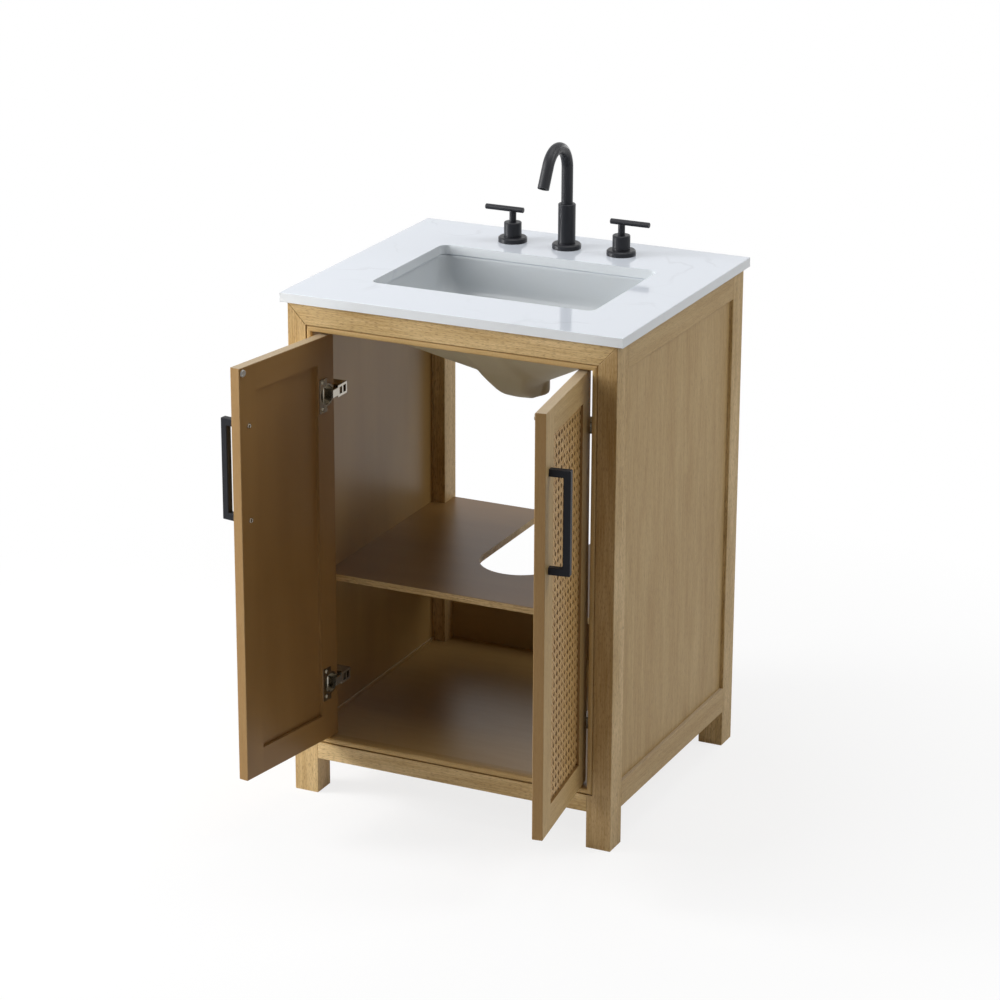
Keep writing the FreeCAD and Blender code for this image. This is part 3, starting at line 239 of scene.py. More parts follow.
class VanitySettings(PropertyGroup):
    """All settings of the vanity."""

    oak: PointerProperty(type=OakSettings)
    cane: PointerProperty(type=CaneSettings)
    stone: PointerProperty(type=StoneSettings)
    fitting: PointerProperty(type=FittingSettings)
    studio: PointerProperty(type=StudioSettings)


def settings():
    """The settings of the vanity in this scene."""
    return bpy.context.scene.vanity


def add(tree, kind, inputs=(), **choices):
    """Add a shader node with its choices; each input is a value or another node's socket."""
    node = tree.nodes.new(f"ShaderNode{kind}")
    for name, choice in choices.items():
        setattr(node, name, choice)
    for name, value in dict(inputs).items():
        if isinstance(value, bpy.types.NodeSocket):
            tree.links.new(value, node.inputs[name])
        else:
            node.inputs[name].default_value = value
    return node


def empty_finish(name):
    """A new material and its empty node tree."""
    material = bpy.data.materials.new(name)
    material.use_nodes = True
    material.node_tree.nodes.clear()
    return material, material.node_tree


def dress(material, *names):
    """Give CAD nodes a finish through their material slots."""
    for name in names:
        for slot in frame["nodes"][name].material_slots:
            slot.material = material


def turned_grain(axis, turn=0.0):
    """The turn that lays the grain, drawn along Z, along an axis of the cabinet or of a turned door."""
    lay = {
        "Z": Matrix.Identity(3),
        "X": Matrix.Rotation(math.radians(-90), 3, "Y"),
        "Y": Matrix.Rotation(math.radians(90), 3, "X"),
    }[axis]
    return (lay @ Matrix.Rotation(-turn, 3, "Z")).to_euler()


def oak_finish(name, grain, inner=(), edges=(), panel=False, lining=False, stain=0.75):
    """Oak, planed, wire brushed and sealed with a satin coat.

    It gives the eye fine streaks along the grain, softer bands of growth rings and short dark pores, with
    a faint sheen along the streaks. Faces that look up get a painted grey sheen of the light from above.
    Faces that look along one of the inner ways are smooth veneer under a glossier coat, painted darker as
    the shade inside the cabinet, behind the doors and in their recesses. Faces along one of the edges' ways
    get painted shade, by the share that the last argument gives.
    """
    oak = settings().oak
    pale, deep = (oak.panel_pale, oak.panel_deep) if panel else (oak.pale, oak.deep)
    light, dark = (oak.shaded_lining_pale, oak.shaded_lining_deep) if lining else (oak.shaded_inside_pale, oak.shaded_inside_deep)
    material, tree = empty_finish(name)
    place = add(tree, "TexCoord").outputs["Object"]
    along = add(tree, "Mapping", {"Vector": place, "Rotation": grain}).outputs["Vector"]

    def grains(width, run, detail):
        """Noise of a real width, drawn out along the grain."""
        size = (1 / width, 1 / width, 1 / run)
        spot = add(tree, "Mapping", {"Vector": along, "Scale": size}).outputs["Vector"]
        return add(tree, "TexNoise", {"Vector": spot, "Scale": 1.0, "Detail": detail}).outputs[0]

    def facing(*ways):
        """How much a face looks along one of the ways, from none to one."""
        looks = add(tree, "TexCoord").outputs["Normal"]
        most = 0.0
        for way in ways:
            turn = add(tree, "VectorMath", {0: looks, 1: way}, operation="DOT_PRODUCT").outputs["Value"]
            near = add(tree, "MapRange", {"Value": turn, "From Min": 0.6, "From Max": 0.8}).outputs[0]
            most = add(tree, "Math", {0: most, 1: near}, operation="MAXIMUM").outputs[0]
        return most

    streaks = grains(oak.fibre, oak.fibre * 32, 4.0)
    boards = grains(48 * MM, 280 * MM, 2.0)
    # The growth rings are the contour lines of a slow swell in the board
    growth = grains(oak.ring * 9, oak.ring * 110, 1.5)
    counted = add(tree, "Math", {0: growth, 1: 56.0}, operation="MULTIPLY").outputs[0]
    rings = add(tree, "Math", {0: counted}, operation="SINE").outputs[0]
    ring_tone = add(tree, "MapRange", {"Value": rings, "From Min": -1.0, "From Max": 1.0}).outputs[0]
    pores = grains(oak.fibre * 0.6, oak.pore_length, 1.0)
    darkest = 0.3 if panel else 0.55
    pore_mask = add(
        tree, "MapRange", {"Value": pores, "From Min": 0.53, "From Max": 0.66, "To Max": darkest}
    ).outputs[0]

    fine = add(
        tree, "Mix", {FACTOR: 0.12, FLOAT_A: streaks, FLOAT_B: ring_tone}, data_type="FLOAT"
    ).outputs[0]
    blend = add(tree, "Mix", {FACTOR: 0.4, FLOAT_A: fine, FLOAT_B: boards}, data_type="FLOAT").outputs[0]
    tone = add(tree, "MapRange", {"Value": blend, "From Min": 0.34, "From Max": 0.66}).outputs[0]
    wood = add(
        tree, "Mix", {FACTOR: tone, COLOR_A: deep, COLOR_B: pale}, data_type="RGBA"
    ).outputs[MIXED_COLOR]
    open_grain = add(
        tree, "Mix", {FACTOR: pore_mask, COLOR_A: wood, COLOR_B: oak.pore}, data_type="RGBA"
    ).outputs[MIXED_COLOR]
    # Faces that look up get a share of painted grey sheen, the light from above
    top_sheen_share = add(tree, "Math", {0: facing((0, 0, 1)), 1: 0.45}, operation="MULTIPLY").outputs[0]
    skin = add(
        tree, "Mix", {FACTOR: top_sheen_share, COLOR_A: open_grain, COLOR_B: oak.sealed}, data_type="RGBA"
    ).outputs[MIXED_COLOR]
    # Faces along the edges' ways are painted darker by a share: painted shade
    if edges:
        shaded = add(tree, "Math", {0: facing(*edges), 1: stain}, operation="MULTIPLY").outputs[0]
        skin = add(
            tree, "Mix", {FACTOR: shaded, COLOR_A: skin, COLOR_B: oak.edge}, data_type="RGBA"
        ).outputs[MIXED_COLOR]
    gloss = add(tree, "MapRange", {"Value": blend, "To Min": 0.58, "To Max": 0.42}).outputs[0]
    relief = add(tree, "Math", {0: streaks, 1: pore_mask}, operation="SUBTRACT").outputs[0]
    # Faces along the inner ways: smooth veneer, painted darker as the shade inside the cabinet and behind the
    # doors
    if inner:
        veneer = add(
            tree, "Mix", {FACTOR: boards, COLOR_A: dark, COLOR_B: light}, data_type="RGBA"
        ).outputs[MIXED_COLOR]
        satin = add(tree, "MapRange", {"Value": streaks, "To Min": 0.38, "To Max": 0.3}).outputs[0]
        inside_share = facing(*inner)
        skin = add(
            tree, "Mix", {FACTOR: inside_share, COLOR_A: skin, COLOR_B: veneer}, data_type="RGBA"
        ).outputs[MIXED_COLOR]
        gloss = add(
            tree, "Mix", {FACTOR: inside_share, FLOAT_A: gloss, FLOAT_B: satin}, data_type="FLOAT"
        ).outputs[0]
        relief = add(
            tree, "Mix", {FACTOR: inside_share, FLOAT_A: relief, FLOAT_B: 0.5}, data_type="FLOAT"
        ).outputs[0]
    raised = add(tree, "Bump", {"Height": relief, "Strength": 0.25, "Distance": 0.3 * MM}).outputs[0]
    shader = add(
        tree,
        "BsdfPrincipled",
        {"Base Color": skin, "Roughness": gloss, "Normal": raised, "IOR": 1.5, "Specular IOR Level": 0.28},
    )
    add(tree, "OutputMaterial", {"Surface": shader.outputs[0]})
    return material


def board_finish():
    """Veneered board, sanded smooth and lacquered.

    It gives the eye a plain dark brown with hardly any figure, the brown painted darker as the shade inside the
    cabinet, and a soft sheen of what stands behind it.
    """
    oak = settings().oak
    material, tree = empty_finish("lacquered_board")
    place = add(tree, "TexCoord").outputs["Object"]
    spread = (1 / (60 * MM), 1 / (9 * MM), 1 / (9 * MM))
    spot = add(tree, "Mapping", {"Vector": place, "Scale": spread}).outputs["Vector"]
    figure = add(tree, "TexNoise", {"Vector": spot, "Scale": 1.0, "Detail": 2.0}).outputs[0]
    faint = add(tree, "MapRange", {"Value": figure, "To Min": 0.3, "To Max": 0.7}).outputs[0]
    skin = add(
        tree, "Mix", {FACTOR: faint, COLOR_A: oak.shaded_inside_deep, COLOR_B: oak.shaded_inside_pale}, data_type="RGBA"
    ).outputs[MIXED_COLOR]
    gloss = add(tree, "MapRange", {"Value": figure, "To Min": 0.38, "To Max": 0.3}).outputs[0]
    raised = add(tree, "Bump", {"Height": figure, "Strength": 0.05, "Distance": 0.2 * MM}).outputs[0]
    shader = add(
        tree,
        "BsdfPrincipled",
        {"Base Color": skin, "Roughness": gloss, "Normal": raised, "IOR": 1.5, "Specular IOR Level": 0.6},
    )
    add(tree, "OutputMaterial", {"Surface": shader.outputs[0]})
    return material


def cane_finish():
    """Split cane, varnished.

    It gives the eye a waxy golden skin with darker stretches and fine lines along each strand.
    """
    cane = settings().cane
    material, tree = empty_finish("varnished_cane")
    place = add(tree, "TexCoord").outputs["Object"]
    patches = add(tree, "TexNoise", {"Vector": place, "Scale": 1 / (14 * MM), "Detail": 2.0}).outputs[0]
    # The fibres' lines are finer in real cane, and are drawn as coarse as they need to be to show
    lines = add(tree, "TexNoise", {"Vector": place, "Scale": 1 / (1.2 * MM), "Detail": 1.0}).outputs[0]
    both = add(tree, "Mix", {FACTOR: 0.35, FLOAT_A: patches, FLOAT_B: lines}, data_type="FLOAT").outputs[0]
    tone = add(tree, "MapRange", {"Value": both, "From Min": 0.32, "From Max": 0.66}).outputs[0]
    skin = add(
        tree, "Mix", {FACTOR: tone, COLOR_A: cane.dark, COLOR_B: cane.light}, data_type="RGBA"
    ).outputs[MIXED_COLOR]
    gloss = add(tree, "MapRange", {"Value": both, "To Min": 0.5, "To Max": 0.34}).outputs[0]
    shader = add(tree, "BsdfPrincipled", {"Base Color": skin, "Roughness": gloss, "IOR": 1.5})
    add(tree, "OutputMaterial", {"Surface": shader.outputs[0]})
    return material


def stone_finish():
    """Quartz stone, cast and polished.

    It gives the eye a bluish white ground with a fine grit and a few soft grey veins under a clear gloss.
    The slab's edges look less blue.
    """
    stone = settings().stone
    material, tree = empty_finish("polished_quartz")
    place = add(tree, "TexCoord").outputs["Object"]
    bend = add(tree, "TexNoise", {"Vector": place, "Scale": 1 / (160 * MM), "Detail": 4.0}).outputs["Color"]
    swirl = add(tree, "VectorMath", {0: bend, "Scale": 90 * MM}, operation="SCALE").outputs[0]
    bent = add(tree, "VectorMath", {0: place, 1: swirl}, operation="ADD").outputs[0]
    cloud = add(
        tree, "TexNoise", {"Vector": bent, "Scale": 1 / stone.vein_spacing, "Detail": 3.0}
    ).outputs[0]
    middle = add(tree, "Math", {0: cloud, 1: 0.5}, operation="SUBTRACT").outputs[0]
    near = add(tree, "Math", {0: middle}, operation="ABSOLUTE").outputs[0]
    vein = add(
        tree, "MapRange", {"Value": near, "From Min": 0.0, "From Max": 0.02, "To Min": 0.4, "To Max": 0.0}
    ).outputs[0]
    parts = add(tree, "TexNoise", {"Vector": place, "Scale": 1 / (95 * MM), "Detail": 1.0}).outputs[0]
    here = add(tree, "MapRange", {"Value": parts, "From Min": 0.45, "From Max": 0.62}).outputs[0]
    broken = add(tree, "Math", {0: vein, 1: here}, operation="MULTIPLY").outputs[0]
    grit = add(tree, "TexNoise", {"Vector": place, "Scale": 1 / (2.2 * MM), "Detail": 2.0}).outputs[0]
    speck = add(
        tree, "MapRange", {"Value": grit, "From Min": 0.56, "From Max": 0.75, "To Max": 0.12}
    ).outputs[0]
    mark = add(tree, "Math", {0: broken, 1: speck}, operation="MAXIMUM").outputs[0]
    # Faces that stand upright get the less blue white, faces that look up or down the ground
    way = add(tree, "SeparateXYZ", {0: add(tree, "TexCoord").outputs["Normal"]}).outputs["Z"]
    level = add(tree, "Math", {0: way}, operation="ABSOLUTE").outputs[0]
    ground = add(
        tree, "Mix", {FACTOR: level, COLOR_A: stone.sawn, COLOR_B: stone.ground}, data_type="RGBA"
    ).outputs[MIXED_COLOR]
    body = add(
        tree, "Mix", {FACTOR: mark, COLOR_A: ground, COLOR_B: stone.vein}, data_type="RGBA"
    ).outputs[MIXED_COLOR]
    gloss = add(tree, "MapRange", {"Value": grit, "To Min": 0.04, "To Max": 0.1}).outputs[0]
    shader = add(tree, "BsdfPrincipled", {"Base Color": body, "Roughness": gloss, "IOR": 1.54})
    add(tree, "OutputMaterial", {"Surface": shader.outputs[0]})
    return material


def glaze_finish():
    """Vitreous china, slip cast and glazed inside, with a line of silicone under the stone.

    It gives the eye a smooth white with a wet gloss that ripples very slightly. Faces that look down and the
    drain's boss are unglazed clay, dull, painted a warm grey as the shade under the basin and its warm bounce
    light from the wood.
    """
    fitting = settings().fitting
    material, tree = empty_finish("glazed_china")
    place = add(tree, "TexCoord").outputs["Object"]
    ripple = add(tree, "TexNoise", {"Vector": place, "Scale": 1 / (38 * MM), "Detail": 1.0}).outputs[0]
    tint = add(tree, "MapRange", {"Value": ripple, "To Min": 0.0, "To Max": 0.3}).outputs[0]
    body = add(
        tree, "Mix", {FACTOR: tint, COLOR_A: fitting.glaze, COLOR_B: fitting.cream}, data_type="RGBA"
    ).outputs[MIXED_COLOR]
    deck = min(vertex.co.z for vertex in frame["nodes"]["countertop"].data.vertices)
    height = add(tree, "SeparateXYZ", {0: place}).outputs["Z"]
    start = deck - fitting.seal_height
    joint = add(
        tree, "MapRange", {"Value": height, "From Min": start, "From Max": start + 0.5 * MM}
    ).outputs[0]
    sealed = add(
        tree, "Mix", {FACTOR: joint, COLOR_A: body, COLOR_B: fitting.seal}, data_type="RGBA"
    ).outputs[MIXED_COLOR]
    looks = add(tree, "TexCoord").outputs["Normal"]
    lean = add(tree, "SeparateXYZ", {0: looks}).outputs["Z"]
    under = add(tree, "MapRange", {"Value": lean, "From Min": -0.01, "From Max": -0.06}).outputs[0]
    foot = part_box("sink_basin")[0].z + fitting.boss_height
    boss = add(
        tree, "MapRange", {"Value": height, "From Min": foot, "From Max": foot - 1.0 * MM}
    ).outputs[0]
    # Faces that look down and the boss: dull unglazed clay, coloured with painted shade and warm bounce light
    bare_and_shaded = add(tree, "Math", {0: under, 1: boss}, operation="MAXIMUM").outputs[0]
    skin = add(
        tree, "Mix", {FACTOR: bare_and_shaded, COLOR_A: sealed, COLOR_B: fitting.biscuit_and_shade}, data_type="RGBA"
    ).outputs[MIXED_COLOR]
    wet = add(tree, "MapRange", {"Value": ripple, "To Min": 0.08, "To Max": 0.16}).outputs[0]
    gloss = add(tree, "Mix", {FACTOR: bare_and_shaded, FLOAT_A: wet, FLOAT_B: 0.6}, data_type="FLOAT").outputs[0]
    relief = add(tree, "Bump", {"Height": ripple, "Strength": 0.06, "Distance": 1.0 * MM}).outputs[0]
    shader = add(
        tree,
        "BsdfPrincipled",
        {"Base Color": skin, "Roughness": gloss, "Normal": relief, "IOR": 1.52, "Specular IOR Level": 0.3},
    )
    add(tree, "OutputMaterial", {"Surface": shader.outputs[0]})
    return material


def coated_finish(name, base, worn, grain, rough, constants=()):
    """A painted, moulded, sanded or plated surface with a fine grain.

    It gives the eye an even colour and sheen that a faint mottle breaks up. The grain, a real size but no
    finer than shows, moves the colour from base to worn and the roughness between the two in rough.
    """
    material, tree = empty_finish(name)
    place = add(tree, "TexCoord").outputs["Object"]
    fine = add(tree, "TexNoise", {"Vector": place, "Scale": 1 / grain, "Detail": 2.0}).outputs[0]
    broad = add(tree, "TexNoise", {"Vector": place, "Scale": 1 / (40 * grain), "Detail": 1.0}).outputs[0]
    both = add(tree, "Mix", {FACTOR: 0.4, FLOAT_A: fine, FLOAT_B: broad}, data_type="FLOAT").outputs[0]
    tone = add(tree, "MapRange", {"Value": both, "From Min": 0.3, "From Max": 0.7}).outputs[0]
    skin = add(
        tree, "Mix", {FACTOR: tone, COLOR_A: base, COLOR_B: worn}, data_type="RGBA"
    ).outputs[MIXED_COLOR]
    gloss = add(tree, "MapRange", {"Value": both, "To Min": rough[0], "To Max": rough[1]}).outputs[0]
    relief = add(tree, "Bump", {"Height": fine, "Strength": 0.08, "Distance": 0.1 * MM}).outputs[0]
    sockets = {"Base Color": skin, "Roughness": gloss, "Normal": relief, **dict(constants)}
    shader = add(tree, "BsdfPrincipled", sockets)
    add(tree, "OutputMaterial", {"Surface": shader.outputs[0]})
    return material


def door_frame(side):
    """The move that takes a closed door, drawn about its hinge pin, to where it stands open at rest."""
    joint = JOINTS[f"{side}_door"]
    opening = math.radians(-joint["range_deg"][0])
    return Matrix.Translation(joint["pos_m"]) @ Matrix.Rotation(opening, 4, Vector(joint["axis"]))


def door_turn(side):
    """How far a door stands turned about the upright."""
    return door_frame(side).to_euler().z


def closed_box(name, move):
    """Lowest and highest corner of a door's node in the closed door's own frame."""
    back = move.inverted()
    spots = [back @ vertex.co for vertex in frame["nodes"][name].data.vertices]
    return tuple(Vector(pick(spot[axis] for spot in spots) for axis in range(3)) for pick in (min, max))


def new_piece(name, shape, material, body):
    """Make an object from a bmesh, with its place in its mesh, and let it ride on a body."""
    mesh = bpy.data.meshes.new(name)
    shape.to_mesh(mesh)
    shape.free()
    mesh.materials.append(material)
    piece = bpy.data.objects.new(name, mesh)
    bpy.context.scene.collection.objects.link(piece)
    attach(piece, body)
    return piece


def join(shape, loose):
    """Add a loose bmesh to another one."""
    mesh = bpy.data.meshes.new("loose")
    loose.to_mesh(mesh)
    loose.free()
    shape.from_mesh(mesh)
    bpy.data.meshes.remove(mesh)


def everything(shape):
    """All points, edges and faces of a bmesh."""
    return shape.verts[:] + shape.edges[:] + shape.faces[:]


def drain_place():
    """The middle of the basin's drain."""
    drain = next(mount for mount in frame["record"]["mounts"] if mount["name"] == "drain")
    return Vector(drain["pos_m"])


def sag_channel(shape, low):
    """Round the overflow's channel under a basin, which sags on its way to the boss and narrows there."""
    fitting = settings().fitting
    end = drain_place().y - fitting.boss_reach
    shape.normal_update()
    inside = 0.1  # points that look up by more than this are in the bowl
    outer = [
        vertex for vertex in shape.verts
        if vertex.normal.z < inside and abs(vertex.co.x) < fitting.channel_half
    ]
    for vertex in outer:
        spot = vertex.co
        share = (end - spot.y) / fitting.channel_run
        if 0 < share < 1:
            spot += CHANNEL_WAY * fitting.channel_sag * math.sin(math.pi * share)
        over = abs(spot.x) - fitting.drain_radius
        # The draw is full as high as the boss, and gone at twice that height
        near = min(2 - (spot.z - low.z) / fitting.boss_height, 1.0)
        if over > 0 and near > 0:
            spot.x = math.copysign(fitting.drain_radius + over * (1 - near * fitting.channel_draw), spot.x)


def in_cells(shape):
    """The same form in fine even cells, with all that overlaps made one."""
    mesh = bpy.data.meshes.new("rough")
    shape.to_mesh(mesh)
    shape.free()
    rough = bpy.data.objects.new("rough", mesh)
    bpy.context.scene.collection.objects.link(rough)
    cells = rough.modifiers.new("cells", "REMESH")
    cells.mode = "VOXEL"
    cells.voxel_size = settings().fitting.cast_cell
    ready = rough.evaluated_get(bpy.context.evaluated_depsgraph_get())
    shape = bmesh.new()
    shape.from_mesh(ready.data)
    bpy.data.objects.remove(rough)
    bpy.data.meshes.remove(mesh)
    return shape


def soften(shape, top, rounds):
    """Smooth all of a form that lies lower than a height."""
    free = [vertex for vertex in shape.verts if vertex.co.z < top]
    axes = {f"use_axis_{axis}": True for axis in "xyz"}
    for _ in range(rounds):
        bmesh.ops.smooth_vert(shape, verts=free, factor=0.5, **axes)


def add_boss(shape, low):
    """Add the straight ring round the drain's hole, a section spun about the hole's middle."""
    fitting = settings().fitting
    middle = Vector((*drain_place().xy, low.z))
    ring = bmesh.new()
    bmesh.ops.create_grid(ring, x_segments=1, y_segments=1, size=0.5)
    bmesh.ops.delete(ring, geom=ring.faces[:], context="FACES_ONLY")
    wall = fitting.boss_radius - fitting.drain_radius
    lay = (
        Matrix.Translation((fitting.drain_radius + wall / 2, 0, fitting.boss_height / 2))
        @ Matrix.Diagonal((wall, 1, fitting.boss_height, 1))
        @ Matrix.Rotation(math.radians(90), 4, "X")
    )
    bmesh.ops.transform(ring, matrix=lay, verts=ring.verts[:])
    bmesh.ops.spin(
        ring, geom=ring.verts[:] + ring.edges[:], cent=(0, 0, 0), axis=(0, 0, 1), angle=math.tau, steps=64,
        use_merge=True,
    )
    bmesh.ops.recalc_face_normals(ring, faces=ring.faces[:])
    bmesh.ops.translate(ring, vec=middle, verts=ring.verts[:])
    join(shape, ring)


def cast_form(name):
    """A basin as it leaves its mould: the construction's form in fine cells, smoothed below its rim.

    The channel and the boss under it are shaped on the way.
    """
    fitting = settings().fitting
    low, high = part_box(name)
    top = high.z - fitting.rim_height
    shape = bmesh.new()
    shape.from_mesh(frame["nodes"][name].data)
    shape = in_cells(shape)
    sag_channel(shape, low)
    soften(shape, top, fitting.cast_rounds)
    add_boss(shape, low)
    shape = in_cells(shape)
    soften(shape, top, fitting.boss_rounds)
    for face in shape.faces:
        face.smooth = True
    return shape


def strand(shape, run, width, cane, bends, move):
    """Add one crowned strand to a bmesh, drawn along X with its skin towards -Y, and move it into place.

    Bends is the number of half waves along it, none for a straight one.
    """
    steps = max(2 * abs(bends), 1)
    grid = bmesh.ops.create_grid(shape, x_segments=steps, y_segments=2, size=0.5)["verts"]
    crown = cane.gauge / 2
    for vertex in grid:
        along, across = vertex.co.x, vertex.co.y
        wave = cane.wave * math.sin(math.pi * (along + 0.5) * bends) if bends else 0.0
        vertex.co = (along * run, -crown * (1 - 4 * across * across) - wave, across * width)
    bmesh.ops.transform(shape, matrix=move, verts=grid)


def weave(side):
    """Two upright, two level and two diagonal sets of strands, woven across a door's opening."""
    cane = settings().cane
    move = door_frame(side)
    low, high = closed_box(f"{side}_door_cane", move)
    wide, tall = high.x - low.x, high.z - low.z
    middle = (low + high) / 2
    pitch = tall / cane.rows
    offset = (cane.strand + cane.pair_gap) / 2
    shape = bmesh.new()
    back = high.y - cane.gauge - cane.proud

    def put(run, width, depth, bends=0, across=0.0, up=0.0, turn=0.0):
        """Lay one strand, at a place seen from the opening's middle."""
        spot = Vector((middle.x + across, back - depth * cane.gauge, middle.z + up))
        strand(shape, run, width, cane, bends, Matrix.Translation(spot) @ Matrix.Rotation(turn, 4, "Y"))

    columns = math.ceil(wide / pitch / 2)
    for column in range(-columns, columns + 1):
        for edge in (-offset, offset):
            across = column * pitch + edge
            if abs(across) < (wide - cane.strand) / 2:
                put(tall, cane.strand, UPRIGHT_LAYER, across=across, turn=math.radians(90))
    for row in range(cane.rows):
        up = (row + 0.5) * pitch - tall / 2
        for edge in (-offset, offset):
            put(wide, cane.strand, LEVEL_LAYER, bends=columns * 2, up=up + edge)
    # The diagonals cross each other on the pairs, midway between the pairs' own crossings
    reach = (wide + tall) / 2
    most = math.ceil(reach / pitch)
    slope = math.radians(45)
    for number in range(-most, most + 1):
        for sense in (-1, 1):
            layer = DIAGONAL_LAYER + DIAGONAL_STEP * sense
            put(2 * wide, cane.diagonal, layer, bends=4 * columns, up=number * pitch, turn=sense * slope)
    for way, spot in (((-1, 0, 0), low), ((1, 0, 0), high), ((0, 0, -1), low), ((0, 0, 1), high)):
        bmesh.ops.bisect_plane(
            shape, geom=everything(shape), plane_co=spot, plane_no=way, clear_outer=True
        )
    skin = cane.gauge * 0.6
    bmesh.ops.solidify(shape, geom=shape.faces[:], thickness=skin)
    bmesh.ops.transform(shape, matrix=move, verts=shape.verts[:])
    bmesh.ops.recalc_face_normals(shape, faces=shape.faces[:])
    return shape


def pull_screws(side):
    """The two pan heads behind a pull, each a drum with a rounded rim and a round recess for the driver."""
    fitting = settings().fitting
    radius, height = fitting.head_radius, fitting.head_height
    rounding, lip, recess = height * 0.75, radius * 0.15, height * 0.4
    move = door_frame(side)
    low, high = closed_box(f"{side}_pull", move)
    seat = closed_box(f"{side}_door_pull_stile", move)[1].y
    end = (high.x - low.x) / 2
    stand = Matrix.Rotation(math.radians(-90), 4, "X")
    shape = bmesh.new()
    for up in (low.z + end, high.z - end):
        head = bmesh.new()
        bmesh.ops.create_cone(
            head, cap_ends=True, segments=28, radius1=radius, radius2=radius, depth=height,
            matrix=Matrix.Translation((0, 0, height / 2)),
        )
        rim = [edge for edge in head.edges if all(vertex.co.z > height / 2 for vertex in edge.verts)]
        bmesh.ops.bevel(
            head, geom=rim, offset=rounding, affect="EDGES", segments=5, profile=0.5, material=-1
        )
        crown = max(head.faces, key=lambda face: face.calc_center_median().z)
        bmesh.ops.inset_individual(head, faces=[crown], thickness=lip)
        bmesh.ops.translate(head, vec=(0, 0, -recess), verts=crown.verts[:])
        spot = Matrix.Translation(((low.x + high.x) / 2, seat, up))
        bmesh.ops.transform(head, matrix=move @ spot @ stand, verts=head.verts[:])
        join(shape, head)
    return shape


def between(spot, low, high):
    """Whether a point lies in a box, with a little play."""
    play = 0.01 * MM
    return all(low[axis] - play < spot[axis] < high[axis] + play for axis in range(3))


def windowed_arms():
    """The hinge arms, with the two openings in each channel through which a driver reaches its screws."""
    fitting = settings().fitting
    shape = bmesh.new()
    shape.from_mesh(frame["nodes"]["hinge_arms"].data)
    bmesh.ops.remove_doubles(shape, verts=shape.verts[:], dist=TOUCH)
    low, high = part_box("hinge_arms")
    inner = min(abs(vertex.co.x) for vertex in shape.verts)
    half = fitting.arm_height / 2
    tall = fitting.arm_window_height / 2
    rows = [(middle - tall, middle + tall) for middle in (low.z + half, high.z - half)]
    step = fitting.arm_window + fitting.arm_web
    ends = [high.y - fitting.arm_web - number * step for number in range(2)]
    spans = [(end - fitting.arm_window, end) for end in ends]
    cuts = [((0, along, 0), (0, 1, 0)) for span in spans for along in span]
    cuts += [((0, 0, up), (0, 0, 1)) for row in rows for up in row]
    for place, way in cuts:
        bmesh.ops.bisect_plane(shape, geom=everything(shape), dist=TOUCH, plane_co=place, plane_no=way)
    sideways = 0.9  # faces that look along X by more than this are the sheet's two sides
    for side, span, row in itertools.product((-1, 1), spans, rows):
        sheet = sorted((side * inner, side * (inner + fitting.arm_gauge)))
        corners = tuple(zip(sheet, span, row))
        lids = [
            face for face in shape.faces
            if abs(face.normal.x) > sideways and between(face.calc_center_median(), *corners)
        ]
        bmesh.ops.delete(shape, geom=lids, context="FACES")
        rims = [
            edge for edge in shape.edges
            if edge.is_boundary and all(between(vertex.co, *corners) for vertex in edge.verts)
        ]
        bmesh.ops.bridge_loops(shape, edges=rims)
    bmesh.ops.recalc_face_normals(shape, faces=shape.faces[:])
    for face in shape.faces:
        face.smooth = False
    return shape


